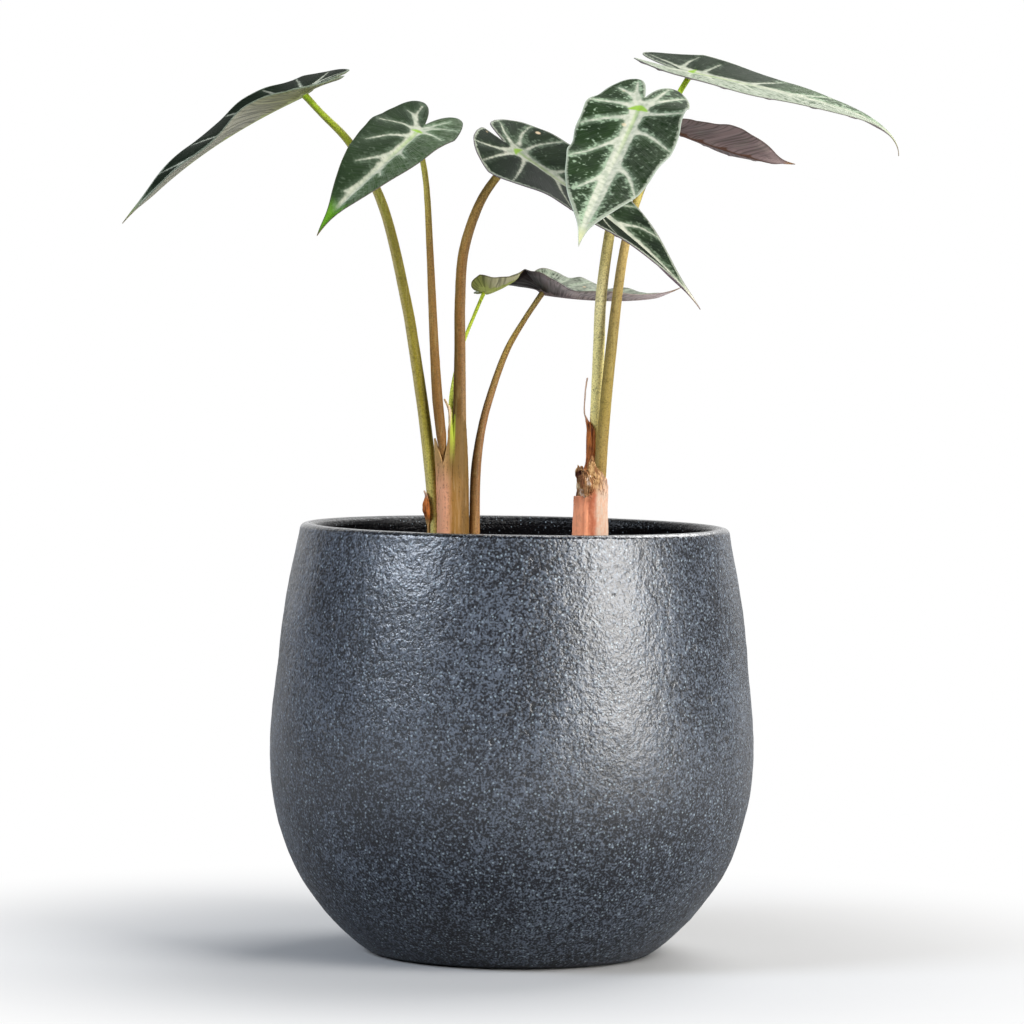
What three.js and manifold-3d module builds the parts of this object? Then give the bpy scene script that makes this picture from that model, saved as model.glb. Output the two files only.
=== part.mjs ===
// A potted bambino alocasia: eight arrowhead leaves on slim stems, in soil, in a round stoneware pot.
// Millimetres, +Z up. The origin is the middle of the pot's underside, and the front is towards -Y.

import * as THREE from 'three';
import { mergeVertices } from 'three/addons/utils/BufferGeometryUtils.js';
import Module from 'manifold-3d';

const wasm = await Module();
wasm.setup();

// Pot
const POT_SIDES = 48;
const POT_HEIGHT = 168;
const POT_FOOT_R = 53;
const POT_WALL = 7;
const POT_FLOOR = 10;
const LIP_R = POT_WALL / 2;
// radius and height along the outside, from the foot up to the lip
const POT_BELLY = [
  [57, 1.6], [64.3, 7.4], [75.5, 19.2], [86.6, 37], [93.4, 60],
  [94.9, 82], [93.2, 106], [89.6, 137], [84.5, 164.5],
];

// Soil
const SOIL_TOP = 143;
const SOIL_CROWN = 1.5;
const STEM_DEPTH = 12;

// Fits
const GAP = 0.32;
const BLADE_THICK = 0.8;

// Blades: how far ahead of its root on the midrib a side vein meets the margin, which grows towards the
// tip, how far the lobes reach behind the stem, and how soon each half settles into its fold.
const VEIN_LEAN = 0.09;
const VEIN_LEAN_GROWTH = 0.3;
const LOBE_REACH = 0.3;
const FOLD_SETTLE = 4;
const ACROSS_STEPS = 4;
const MIDRIB_STEPS = 40;

// Stems
const STEM_SIDES = 8;
const STEM_STEP = 10;

// One half of a blade's outline, from the notch between the lobes, round the lobe, to the tip:
// distance along the midrib in blade lengths, and distance out from it in half-widths.
const HALF_OUTLINE = [
  [-0.09, 0], [-0.16, 0.09], [-0.22, 0.2], [-0.26, 0.33], [-0.27, 0.48], [-0.235, 0.66], [-0.16, 0.81],
  [-0.06, 0.92], [0.05, 0.98], [0.17, 1], [0.3, 0.96], [0.43, 0.86], [0.55, 0.72], [0.66, 0.54],
  [0.75, 0.36], [0.82, 0.21], [0.88, 0.11], [0.94, 0.05], [1, 0],
];

// Each blade: where its stem meets it, its length to the tip and its half-width, how long its lobes are,
// then angles in degrees. heading, pitch and roll point the midrib; droop, hook and sway bend it down
// along its length, down at its tip, and sideways; twist turns it. fold lifts each half (left, right) at
// the stem, unfold is what is added to that towards the tip, lobe what is added in the lobes, and
// lobeBend bends both lobes down. wave is the height of the margin's waves in millimetres, waves their
// number and phase their start on each side.
const LEAVES = [
  {
    name: '1', at: [-85.2, -12, 335.4], length: 88, half: 22.5, lobes: 0.8, heading: 172, pitch: -26, roll: -9,
    droop: 23, hook: 0, sway: 6, twist: -20, fold: [15, 19], unfold: [1, -13], lobe: [-21, -25], lobeBend: -8,
    wave: 2, waves: 1.9, phase: [-57, -83],
  },
  {
    name: '2', at: [-40, -18, 320.7], length: 79, half: 16.5, lobes: 1, heading: -116, pitch: -26, roll: -16,
    droop: 10, hook: 33, sway: -9, twist: -8, fold: [5, 13], unfold: [22, 13], lobe: [-9, 4], lobeBend: -9,
    wave: 0.5, waves: 2.5, phase: [-90, 10],
  },
  {
    name: '3', at: [-1.3, -20, 313.7], length: 95, half: 24.5, lobes: 0.7, heading: -16, pitch: -32, roll: 25,
    droop: 18, hook: 10, sway: 2, twist: -17, fold: [3, 1], unfold: [7, 13], lobe: [-30, 22], lobeBend: 20,
    wave: -0.9, waves: 2.5, phase: [36, 40],
  },
  {
    name: '4', at: [45.2, -36, 330.1], length: 93, half: 20, lobes: 0.9, heading: -115, pitch: -43, roll: -6,
    droop: -26, hook: 32, sway: 10, twist: -11, fold: [2, 12], unfold: [-2, -2], lobe: [-36, -19], lobeBend: -27,
    wave: 1.7, waves: 2.9, phase: [39, 15],
  },
  {
    name: '5', at: [66.8, 8, 346.3], length: 92, half: 19.5, lobes: 0.9, heading: -12, pitch: -11, roll: 17,
    droop: 9, hook: 76, sway: 6, twist: -3, fold: [8, 10], unfold: [-12, -7], lobe: [-11, 6], lobeBend: 8,
    wave: 0.3, waves: 2.5, phase: [0, 0],
  },
  {
    name: '6', at: [61.8, 36, 324.9], length: 55, half: 17.5, lobes: 1, heading: 23, pitch: -18, roll: -2,
    droop: -9, hook: -8, sway: 2, twist: -18, fold: [14, 9], unfold: [-5, 8], lobe: [0, -14], lobeBend: -1,
    wave: 0.5, waves: 2.4, phase: [150, 165],
  },
  {
    name: '7', at: [-13.2, 10, 259.6], length: 17, half: 10.5, lobes: 1, heading: 0, pitch: 19, roll: -12,
    droop: -23, hook: 4, sway: -2, twist: 17, fold: [18, 29], unfold: [-4, -19], lobe: [0, 2], lobeBend: 1,
    wave: 0.2, waves: 2.5, phase: [0, 0],
  },
  {
    name: '8', at: [10.2, 36, 260], length: 59, half: 21, lobes: 0.7, heading: -30, pitch: -7, roll: -3,
    droop: -17, hook: 4, sway: 16, twist: -5, fold: [17, 28], unfold: [-2, -29], lobe: [34, -59], lobeBend: 24,
    wave: 1.3, waves: 2.4, phase: [0, -63],
  },
];

// Each stem's line from its foot up to just under its blade, as [x, y, z, radius].
// Stems 2 and 7 start inside the sheath of stem 3, and the others in the soil.
const STEM_LINES = {
  1: [[-31.6, 4, 165, 2.3], [-34.5, 3, 197, 2.4], [-40.4, -1, 236, 2.2], [-43.9, -3, 255, 2.1],
    [-54.1, -8, 294, 1.9], [-66.4, -10, 316, 1.6], [-78.2, -11.5, 328, 1.3]],
  2: [[-27.8, -1, 189, 0.8], [-29.4, -2.6, 203, 2], [-31, -3, 216.5, 2.1], [-32.5, -4, 236, 1.8],
    [-34.8, -6, 275, 1.4], [-36.6, -9, 301, 1.2], [-38.6, -13.5, 313, 1.1]],
  3: [[-22.4, 0, 165, 3.6], [-22.2, 0, 189, 3.2], [-22.3, 0, 203, 2.7], [-22.6, 0, 236, 2.2],
    [-22.8, -2, 255.7, 2.1], [-21.5, -5.5, 275.3, 2], [-15, -11, 294.7, 1.8], [-7, -16, 306.5, 1.6]],
  4: [[29.3, 2.5, 165, 2.3], [30.8, 3, 202, 2.3], [31.8, 3, 237, 2.3], [32.3, 1, 256.6, 2.2],
    [35.2, 0, 282, 2.1], [38.8, -4, 301, 2], [42.6, -18, 318, 1.7]],
  5: [[32.2, -1.6, 165, 2], [32.6, -1.9, 178, 2], [33.1, -2.4, 188, 2.3], [33.8, -3, 203, 2.3],
    [36.5, -3, 237, 2.2], [41.3, -3, 278, 1.8], [46.9, -1, 299.7, 1.5], [53.6, 1, 319.4, 1.3],
    [62, 5, 338.4, 1.1]],
  6: [[31.5, 6.3, 165, 1.3], [33, 6.6, 198, 1.3], [35, 6.5, 217.5, 1.3], [37, 5.5, 237, 1.3],
    [39.2, 3, 256.7, 1.3], [42.2, 6, 280, 1.2], [48, 15, 300, 1.1], [56, 28, 317, 1]],
  7: [[-25.2, 1.2, 195, 0.7], [-25.7, 3, 207, 1], [-25.7, 5, 217, 1], [-24.6, 7, 225, 0.9],
    [-22, 8, 237, 0.7], [-16.4, 9.3, 252, 0.7]],
  8: [[-15.9, 2, 165, 2.1], [-15.7, 4.5, 189, 2], [-13.8, 10, 204.7, 1.6], [-11, 15, 216.5, 1.5],
    [-4.3, 24, 236, 1.3], [2.4, 31, 248, 1.1]],
};
const ROOTED = ['1', '3', '4', '5', '6', '8'];

// Sheath at the foot of stem 3, and the sleeve round the foot of the right-hand stems: height, middle
// in x and y, and half-widths in x and y. The top of each rises towards one side, in degrees.
const SHEATH_3 = {
  rows: [[165, -24.3, 0, 6.3, 4.8], [178, -24.4, 0.1, 6.2, 4.6], [190.5, -24.9, 0.4, 6.3, 4.2]],
  rise: 10.5,
  peak: 175,
};
const SLEEVE = {
  rows: [[165, 29.5, 0.8, 6.8, 8], [173, 29.5, 0.8, 6.4, 8], [180, 29.6, 0.8, 6.3, 7.8]],
  rise: 16,
  peak: -88,
};
const UPRIGHT_SIDES = 16;

// Papery remnants: a thin strip wrapped round an upright line at x, y. Each row is its height,
// its distance out from that line, and the angles in degrees that it runs between.
const PAPER = 0.6;
const PAPER_STEPS = 4;
const DRY_SHEATH = {
  axis: [30.7, 2.9],
  rows: [
    [183, 5.6, 175, 240], [188, 4.6, 172, 255], [193, 3.3, 170, 270], [199, 3.1, 170, 276], [206, 3.1, 170, 268],
    [210, 3.7, 172, 216], [214, 4.4, 174, 200], [221, 3.9, 176, 192], [226, 3.3, 178, 188],
  ],
};
const DRY_SCALE = {
  axis: [-32, 4],
  rows: [
    [143.6, 3.2, 155, 215], [160, 3.1, 155, 215], [170, 3.2, 160, 220], [177, 3.6, 165, 212], [182, 3.5, 175, 195],
  ],
};

const MATERIAL = {
  pot: { color: 0x3c434b, roughness: 0.5, metalness: 0 },
  soil: { color: 0x2b2119, roughness: 0.95, metalness: 0 },
  leaf: { color: 0x34503a, roughness: 0.45, metalness: 0 },
  young: { color: 0x5f8038, roughness: 0.45, metalness: 0 },
  stem: { color: 0x8f7440, roughness: 0.55, metalness: 0 },
  greenStem: { color: 0xa9bb2f, roughness: 0.5, metalness: 0 },
  sheath: { color: 0xd9a184, roughness: 0.6, metalness: 0 },
  dry: { color: 0x6b4126, roughness: 0.85, metalness: 0 },
};

const radians = THREE.MathUtils.degToRad;
const group = new THREE.Group();

function addMesh(name, geometry, look) {
  const material = new THREE.MeshStandardMaterial(MATERIAL[look]);
  const mesh = new THREE.Mesh(geometry, material);
  mesh.name = name;
  group.add(mesh);
}

// Solids

function toSolid(geometry) {
  const bare = geometry.clone();
  bare.deleteAttribute('normal');
  bare.deleteAttribute('uv');
  const merged = mergeVertices(bare, 1e-3);
  const mesh = new wasm.Mesh({
    numProp: 3,
    vertProperties: new Float32Array(merged.attributes.position.array),
    triVerts: new Uint32Array(merged.index.array),
  });
  return new wasm.Manifold(mesh);
}

function toGeometry(solid) {
  const pieces = solid.decompose();
  const body = pieces.reduce((a, b) => (b.volume() > a.volume() ? b : a));
  const mesh = body.getMesh();
  const geometry = new THREE.BufferGeometry();
  geometry.setAttribute('position', new THREE.BufferAttribute(new Float32Array(mesh.vertProperties), 3));
  geometry.setIndex(Array.from(mesh.triVerts));
  geometry.computeVertexNormals();
  return geometry;
}

function cut(geometry, cutters) {
  const solid = cutters.reduce((left, cutter) => left.subtract(toSolid(cutter)), toSolid(geometry));
  return toGeometry(solid);
}

// Skins a row of rings that have the same number of points, and closes both ends.
function skin(rings) {
  const sides = rings[0].length;
  const points = rings.flat();
  const faces = [];
  for (let i = 0; i + 1 < rings.length; i += 1) {
    for (let k = 0; k < sides; k += 1) {
      const a = i * sides + k;
      const b = i * sides + ((k + 1) % sides);
      faces.push(a, b, b + sides, a, b + sides, a + sides);
    }
  }
  const last = (rings.length - 1) * sides;
  for (let k = 1; k + 1 < sides; k += 1) {
    faces.push(0, k + 1, k);
    faces.push(last, last + k, last + k + 1);
  }
  const geometry = new THREE.BufferGeometry().setFromPoints(points);
  geometry.setIndex(faces);
  return geometry;
}

// Pot and soil

function curveThrough(pairs) {
  return new THREE.SplineCurve(pairs.map(([r, z]) => new THREE.Vector2(r, z)));
}

function turn(profile) {
  return new THREE.LatheGeometry(profile, POT_SIDES).rotateX(Math.PI / 2);
}

// The inside of the wall, from its floor up to the lip.
function potInside(clearance) {
  const floor = POT_FLOOR + clearance;
  const wall = POT_BELLY.filter(([, z]) => z > floor + 5).map(([r, z]) => [r - POT_WALL - clearance, z]);
  return [new THREE.Vector2(POT_FOOT_R, floor), ...curveThrough(wall).getPoints(9)];
}

function potGeometry() {
  const belly = curveThrough([[POT_FOOT_R, 0], ...POT_BELLY]).getPoints(14).slice(0, -1);
  const [neck, shoulder] = POT_BELLY.at(-1);
  const rise = POT_HEIGHT - shoulder;
  const lip = new THREE.EllipseCurve(neck - LIP_R, shoulder, LIP_R, rise, 0, Math.PI).getPoints(6);
  const inside = potInside(0).reverse().slice(1);
  return turn([new THREE.Vector2(0, 0), ...belly, ...lip, ...inside, new THREE.Vector2(0, POT_FLOOR)]);
}

function soilGeometry(holes) {
  const wall = potInside(GAP).filter((p) => p.y < SOIL_TOP - 6);
  const rim = SOIL_TOP - SOIL_CROWN;
  const above = POT_BELLY.findIndex(([, z]) => z > rim);
  const [[r0, z0], [r1, z1]] = [POT_BELLY[above - 1], POT_BELLY[above]];
  const edge = r0 + ((r1 - r0) * (rim - z0)) / (z1 - z0) - POT_WALL - GAP;
  const crown = [1, 0.75, 0.5, 0.25, 0].map((t) => new THREE.Vector2(edge * t, SOIL_TOP - SOIL_CROWN * t * t));
  return cut(turn([new THREE.Vector2(0, POT_FLOOR + GAP), ...wall, ...crown]), holes);
}

// Blades

function bladeFrame(leaf) {
  const pitch = radians(leaf.pitch);
  const heading = radians(leaf.heading);
  const along = new THREE.Vector3(
    Math.cos(pitch) * Math.cos(heading), Math.cos(pitch) * Math.sin(heading), Math.sin(pitch),
  );
  const up = new THREE.Vector3(0, 0, 1).addScaledVector(along, -along.z).normalize();
  up.applyAxisAngle(along, radians(leaf.roll));
  const left = new THREE.Vector3().crossVectors(up, along);
  return { along, left, up };
}

// The midrib's direction in the blade's own frame, and the level direction across it.
// t is the distance from the stem in blade lengths, negative in the lobes.
function midribTurn(leaf, t) {
  const ahead = Math.max(t, 0);
  const bend = (leaf.lobeBend * Math.max(-t, 0)) / LOBE_REACH;
  const down = radians(bend + leaf.droop * ahead ** 1.3 + leaf.hook * ahead ** 8);
  const side = radians(leaf.sway * ahead);
  return {
    along: new THREE.Vector3(Math.cos(down) * Math.cos(side), Math.cos(down) * Math.sin(side), -Math.sin(down)),
    across: new THREE.Vector3(-Math.sin(side), Math.cos(side), 0),
  };
}

function midribAt(leaf, t) {
  const point = new THREE.Vector3();
  for (let i = 0; i < MIDRIB_STEPS; i += 1) {
    const { along } = midribTurn(leaf, (t * (i + 0.5)) / MIDRIB_STEPS);
    point.addScaledVector(along, (t * leaf.length) / MIDRIB_STEPS);
  }
  return point;
}

// A point of the blade's upper face, t lengths along and w half-widths out on side +1 (left) or -1.
function bladePoint(leaf, frame, t, w, side) {
  const k = side > 0 ? 0 : 1;
  const ahead = Math.max(t, 0);
  const { along, across } = midribTurn(leaf, t);
  const normal = new THREE.Vector3().crossVectors(along, across);
  across.applyAxisAngle(along, radians(leaf.twist) * ahead);
  normal.applyAxisAngle(along, radians(leaf.twist) * ahead);
  const settled = 1 - Math.exp(-FOLD_SETTLE * ahead);
  const fold = radians(leaf.fold[k] + leaf.unfold[k] * settled + (leaf.lobe[k] * Math.max(-t, 0)) / LOBE_REACH);
  const out = w * leaf.half;
  const ripple = leaf.wave * w * w * Math.sin(2 * Math.PI * leaf.waves * t + radians(leaf.phase[k]));
  const local = midribAt(leaf, t)
    .addScaledVector(across, side * out * Math.cos(fold))
    .addScaledVector(normal, out * Math.sin(fold) + ripple);
  return new THREE.Vector3(...leaf.at)
    .addScaledVector(frame.along, local.x)
    .addScaledVector(frame.left, local.y)
    .addScaledVector(frame.up, local.z);
}

// The blade is spanned by lines that follow its side veins, from the midrib out to the margin.
function bladeGeometry(leaf, above, below) {
  const frame = bladeFrame(leaf);
  const last = HALF_OUTLINE.length - 1;
  const points = [];
  const index = new Map();
  const faces = [];
  const rim = [];

  function vertex(i, j, side) {
    const [ahead, out] = HALF_OUTLINE[i];
    const t = ahead < 0 ? ahead * leaf.lobes : ahead;
    const root = Math.max(ahead - out * (VEIN_LEAN + VEIN_LEAN_GROWTH * ahead), 0);
    let key = `${side} ${i} ${j}`;
    if (j === 0) key = root > 0 ? `midrib ${i}` : 'stem';
    if (i === 0 && j > 0) key = `notch ${j}`;
    if (i === last) key = 'tip';
    if (!index.has(key)) {
      const reach = j / ACROSS_STEPS;
      index.set(key, points.length);
      points.push(bladePoint(leaf, frame, root + (t - root) * reach, out * reach, side));
    }
    return index.get(key);
  }

  function face(a, b, c, side) {
    if (a === b || b === c || c === a) return;
    faces.push(side > 0 ? [a, b, c] : [a, c, b]);
  }

  for (const side of [1, -1]) {
    for (let i = 0; i < last; i += 1) {
      for (let j = 0; j < ACROSS_STEPS; j += 1) {
        const [a, b] = [vertex(i, j, side), vertex(i + 1, j, side)];
        const [c, d] = [vertex(i + 1, j + 1, side), vertex(i, j + 1, side)];
        face(a, b, c, side);
        face(a, c, d, side);
      }
      const edge = [vertex(i, ACROSS_STEPS, side), vertex(i + 1, ACROSS_STEPS, side)];
      rim.push(side > 0 ? edge : edge.reverse());
    }
  }

  const normals = points.map(() => new THREE.Vector3());
  for (const [a, b, c] of faces) {
    const normal = new THREE.Vector3().subVectors(points[b], points[a])
      .cross(new THREE.Vector3().subVectors(points[c], points[a]));
    for (const v of [a, b, c]) normals[v].add(normal);
  }
  const top = points.map((p, v) => p.clone().addScaledVector(normals[v].normalize(), above));
  const bottom = points.map((p, v) => p.clone().addScaledVector(normals[v], -below));
  const n = points.length;
  const all = faces.flatMap(([a, b, c]) => [a, b, c, n + a, n + c, n + b]);
  for (const [a, b] of rim) all.push(a, b, n + b, a, n + b, n + a);
  const geometry = new THREE.BufferGeometry().setFromPoints([...top, ...bottom]);
  geometry.setIndex(all);
  return geometry;
}

// Stems

// A round tube along the stations' line, as wide at each height as the stations say.
function taperedTube(stations, extra) {
  const points = stations.map(([x, y, z]) => new THREE.Vector3(x, y, z));
  const line = new THREE.CatmullRomCurve3(points, false, 'centripetal');
  const steps = Math.round(line.getLength() / STEM_STEP);
  const corners = Array.from({ length: STEM_SIDES }, (_, k) => {
    const angle = (2 * Math.PI * k) / STEM_SIDES;
    return new THREE.Vector2(Math.cos(angle), Math.sin(angle));
  });
  const section = new THREE.Shape(corners);
  const tube = new THREE.ExtrudeGeometry(section, { steps, extrudePath: line, bevelEnabled: false });
  const rings = line.getSpacedPoints(steps);
  const position = tube.attributes.position;
  for (let v = 0; v < position.count; v += 1) {
    const point = new THREE.Vector3().fromBufferAttribute(position, v);
    const centre = rings.reduce((a, b) => (b.distanceTo(point) < a.distanceTo(point) ? b : a));
    const above = Math.max(stations.findIndex((s) => s[2] >= centre.z - 1e-6), 1);
    const [[, , z0, r0], [, , z1, r1]] = [stations[above - 1], stations[above]];
    const radius = r0 + ((r1 - r0) * (centre.z - z0)) / (z1 - z0) + extra;
    point.sub(centre).multiplyScalar(radius).add(centre);
    position.setXYZ(v, point.x, point.y, point.z);
  }
  return tube;
}

function stemGeometry(leaf, extra) {
  const line = STEM_LINES[leaf.name];
  const [[x, y, z, radius]] = line;
  const foot = ROOTED.includes(leaf.name) ? SOIL_TOP - STEM_DEPTH : z - 1;
  return taperedTube([[x, y, foot - extra, radius], ...line, [...leaf.at, line.at(-1)[3]]], extra);
}

// An upright oval body. Its top rises towards one side.
function uprightGeometry({ rows, rise, peak }, extra) {
  const [, ...base] = rows[0];
  const rings = [[SOIL_TOP - STEM_DEPTH - extra, ...base], ...rows];
  return skin(rings.map(([z, x, y, rx, ry], i) => Array.from({ length: UPRIGHT_SIDES }, (_, k) => {
    const angle = (2 * Math.PI * k) / UPRIGHT_SIDES;
    const lift = rise * ((1 + Math.cos(angle - radians(peak))) / 2) ** 3 + extra;
    const height = i === rings.length - 1 ? z + lift : z;
    return new THREE.Vector3(x + (rx + extra) * Math.cos(angle), y + (ry + extra) * Math.sin(angle), height);
  })));
}

// A thin papery strip wrapped round an upright line.
function paperGeometry({ axis: [x, y], rows }) {
  const steps = Array.from({ length: PAPER_STEPS + 1 }, (_, k) => k / PAPER_STEPS);
  return skin(rows.map(([z, out, from, to]) => {
    const at = (radius, t) => {
      const angle = radians(from + (to - from) * t);
      return new THREE.Vector3(x + radius * Math.cos(angle), y + radius * Math.sin(angle), z);
    };
    const outer = steps.map((t) => at(out + PAPER / 2, t));
    const inner = steps.map((t) => at(out - PAPER / 2, 1 - t));
    return [...outer, ...inner];
  }));
}

// Assembly

const leafNamed = Object.fromEntries(LEAVES.map((leaf) => [leaf.name, leaf]));
const grownStem = (name) => stemGeometry(leafNamed[name], GAP);
const grownBlade = (leaf) => bladeGeometry(leaf, GAP, BLADE_THICK + GAP);

addMesh('pot', potGeometry(), 'pot');

const holes = [
  ...ROOTED.map(grownStem),
  uprightGeometry(SHEATH_3, GAP),
  uprightGeometry(SLEEVE, GAP),
];
addMesh('soil', soilGeometry(holes), 'soil');

for (const leaf of LEAVES) {
  const look = leaf.name === '7' ? 'young' : 'leaf';
  addMesh(`blade_${leaf.name}`, toGeometry(toSolid(bladeGeometry(leaf, 0, BLADE_THICK))), look);
}

for (const leaf of LEAVES) {
  const look = leaf.name === '7' ? 'greenStem' : 'stem';
  let stem = cut(stemGeometry(leaf, 0), [grownBlade(leaf)]);
  if (leaf.name === '3') {
    const joined = toSolid(stem).add(toSolid(uprightGeometry(SHEATH_3, 0)));
    stem = cut(toGeometry(joined), ['1', '2', '7', '8'].map(grownStem));
  }
  addMesh(`stem_${leaf.name}`, stem, look);
}

const neighbours = ['4', '5', '6'].map(grownStem);
addMesh('base_sheath', cut(uprightGeometry(SLEEVE, 0), neighbours), 'sheath');
addMesh('dry_sheath', cut(paperGeometry(DRY_SHEATH), [uprightGeometry(SLEEVE, GAP), ...neighbours]), 'dry');
addMesh('dry_scale', cut(paperGeometry(DRY_SCALE), [grownStem('1'), uprightGeometry(SHEATH_3, GAP)]), 'dry');

export default group;
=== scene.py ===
"""Potted bambino alocasia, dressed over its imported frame.

The eight blades, their stems, the sheaths at their feet, the soil and the stoneware pot are made here as
fine meshes that keep the form and place of the frame's solids. Lengths in the tables are millimetres,
heights are above the surface that the pot stands on, the front is towards -Y and angles are degrees.
"""

import math

import bpy
import numpy as np
from mathutils import Matrix, Vector
from mathutils.bvhtree import BVHTree


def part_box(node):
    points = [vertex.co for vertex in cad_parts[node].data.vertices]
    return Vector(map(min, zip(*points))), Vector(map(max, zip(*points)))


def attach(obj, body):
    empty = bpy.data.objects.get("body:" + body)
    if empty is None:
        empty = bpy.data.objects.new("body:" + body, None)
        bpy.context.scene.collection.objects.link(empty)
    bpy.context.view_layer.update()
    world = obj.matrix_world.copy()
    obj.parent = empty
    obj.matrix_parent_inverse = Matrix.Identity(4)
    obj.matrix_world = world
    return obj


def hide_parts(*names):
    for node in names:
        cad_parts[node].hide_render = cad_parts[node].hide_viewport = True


bl_info = {
    "name": "Potted bambino alocasia",
    "version": (1, 0, 0),
    "blender": (4, 5, 0),
    "location": "3D View > Sidebar > Alocasia",
    "description": "Makes the leaves, stems, sheaths, soil and pot of a potted alocasia",
    "category": "Object",
}

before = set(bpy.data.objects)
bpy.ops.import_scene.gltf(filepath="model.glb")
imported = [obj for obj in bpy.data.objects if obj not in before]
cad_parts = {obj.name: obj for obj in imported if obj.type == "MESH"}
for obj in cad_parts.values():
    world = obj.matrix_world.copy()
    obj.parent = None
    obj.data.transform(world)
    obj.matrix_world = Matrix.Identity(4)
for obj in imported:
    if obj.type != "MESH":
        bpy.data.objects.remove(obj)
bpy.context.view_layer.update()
MM = 0.001

# Pot: its height, foot, wall and floor, the round of its lip, and its outside as (radius, height) upwards
POT_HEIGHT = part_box("pot")[1].z / MM
POT_FOOT_R = 53
POT_WALL = 7
POT_FLOOR = 10
LIP_R = POT_WALL / 2
POT_BELLY = [
    [57, 1.6], [64.3, 7.4], [75.5, 19.2], [86.6, 37], [93.4, 60],
    [94.9, 82], [93.2, 106], [89.6, 137], [84.5, 164.5],
]

# Soil: its top, how far its middle stands above its rim, its gap from the pot, how deep stems stand in it,
# and how far out its loose crumbs lie, with the share of them that is white
SOIL_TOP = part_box("soil")[1].z / MM
SOIL_CROWN = 1.5
SOIL_GAP = 0.4
STEM_DEPTH = 12
CRUMB_SPREAD = 76
WHITE_SHARE = 0.22

# Blades: how side veins lean near the stem and more so further on, how far the lobes reach, how soon each
# half settles into its fold, how softly veins run into each other, and how near its blade a stem's top is
# pressed flat, to which depth under the skin
VEIN_LEAN = 0.09
VEIN_LEAN_GROWTH = 0.3
LOBE_REACH = 0.3
FOLD_SETTLE = 4
VEIN_UNION = 0.9
TUCK_REACH = 9
TUCK_DEPTH = 0.45

# Corners that are nearer than this are one
MERGE = 0.002

# Small waves of the margin: their number, and their size outwards and upwards
CRIMPS = 6.3
CRIMP_OUT = 0.25
CRIMP_UP = 0.35

# One half of a blade's outline, from the notch between the lobes, round the lobe, to the tip:
# distance along the midrib in blade lengths, and distance out from it in half-widths.
HALF_OUTLINE = [
    [-0.09, 0], [-0.16, 0.09], [-0.22, 0.2], [-0.26, 0.33], [-0.27, 0.48], [-0.235, 0.66], [-0.16, 0.81],
    [-0.06, 0.92], [0.05, 0.98], [0.17, 1], [0.3, 0.96], [0.43, 0.86], [0.55, 0.72], [0.66, 0.54],
    [0.75, 0.36], [0.82, 0.21], [0.88, 0.11], [0.94, 0.05], [1, 0],
]

# The lobes of blade 3 have their own outline, rounder and shorter than the others
OWN_LOBES = {"3": [
    [-0.07, 0], [-0.125, 0.07], [-0.165, 0.16], [-0.17, 0.35], [-0.165, 0.48], [-0.15, 0.66], [-0.11, 0.84],
    [-0.06, 0.925], [0.04, 0.985],
]}

# Side veins of one half as three places each: lengths along the midrib, half-widths out.
COMMON_VEINS = [
    [(0, 0), (-0.1, 0.22), (-0.21, 0.4)],
    [(-0.05, 0.13), (-0.09, 0.4), (-0.12, 0.74)],
    [(0, 0.02), (0.01, 0.45), (0.03, 0.92)],
    [(0.06, 0), (0.11, 0.42), (0.18, 0.92)],
    [(0.19, 0), (0.27, 0.4), (0.37, 0.82)],
    [(0.38, 0), (0.46, 0.28), (0.56, 0.62)],
    [(0.58, 0), (0.65, 0.18), (0.73, 0.34)],
]

# The fields of a blade, and the values that most of them share.
# Place, as in the frame: at is where the stem meets it, then its length to the tip, its half-width, the
# length of its lobes, and its heading, pitch and roll.
# Bends of the midrib: droop, a hook near the tip, sway to the left, a twist, and lobe_bend behind the stem.
# Folds of the left and right half: fold at the stem, unfold towards the tip, lobe behind the stem.
# Margin: how high it waves, how many waves, the phase of either half, and its small crimps.
# Mesh: rows along the margin, and columns across a half.
# Looks: half-width of the pale midrib and width of the pale margin (band), then how strong the frost, green,
# scars, painted sheen (pale streaks of painted reflection, which also set a little gloss), halo beside the
# veins and bright veins are, painted light that makes either half paler (pale), and painted shade that makes
# either half darker (dim) with the run where it ends.
# Colours: the underside near the stem, further out and at its veins, the tip from one run on, and the edge;
# on blade 8 the near-black underside near the stem is painted shade.
PLAIN_LEAF = dict(
    lobes=1, hook=0, waves=2.5, crimp=0.2, rows=200, across=40,
    scars=0.2, painted_sheen=0.2, halo=0.3, bright=1, pale=(0, 0), dim=(0, 0, 1),
    under="#86727a", under_end="#86727a", under_vein="#a8948f", tip_from=0.85,
)
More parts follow.
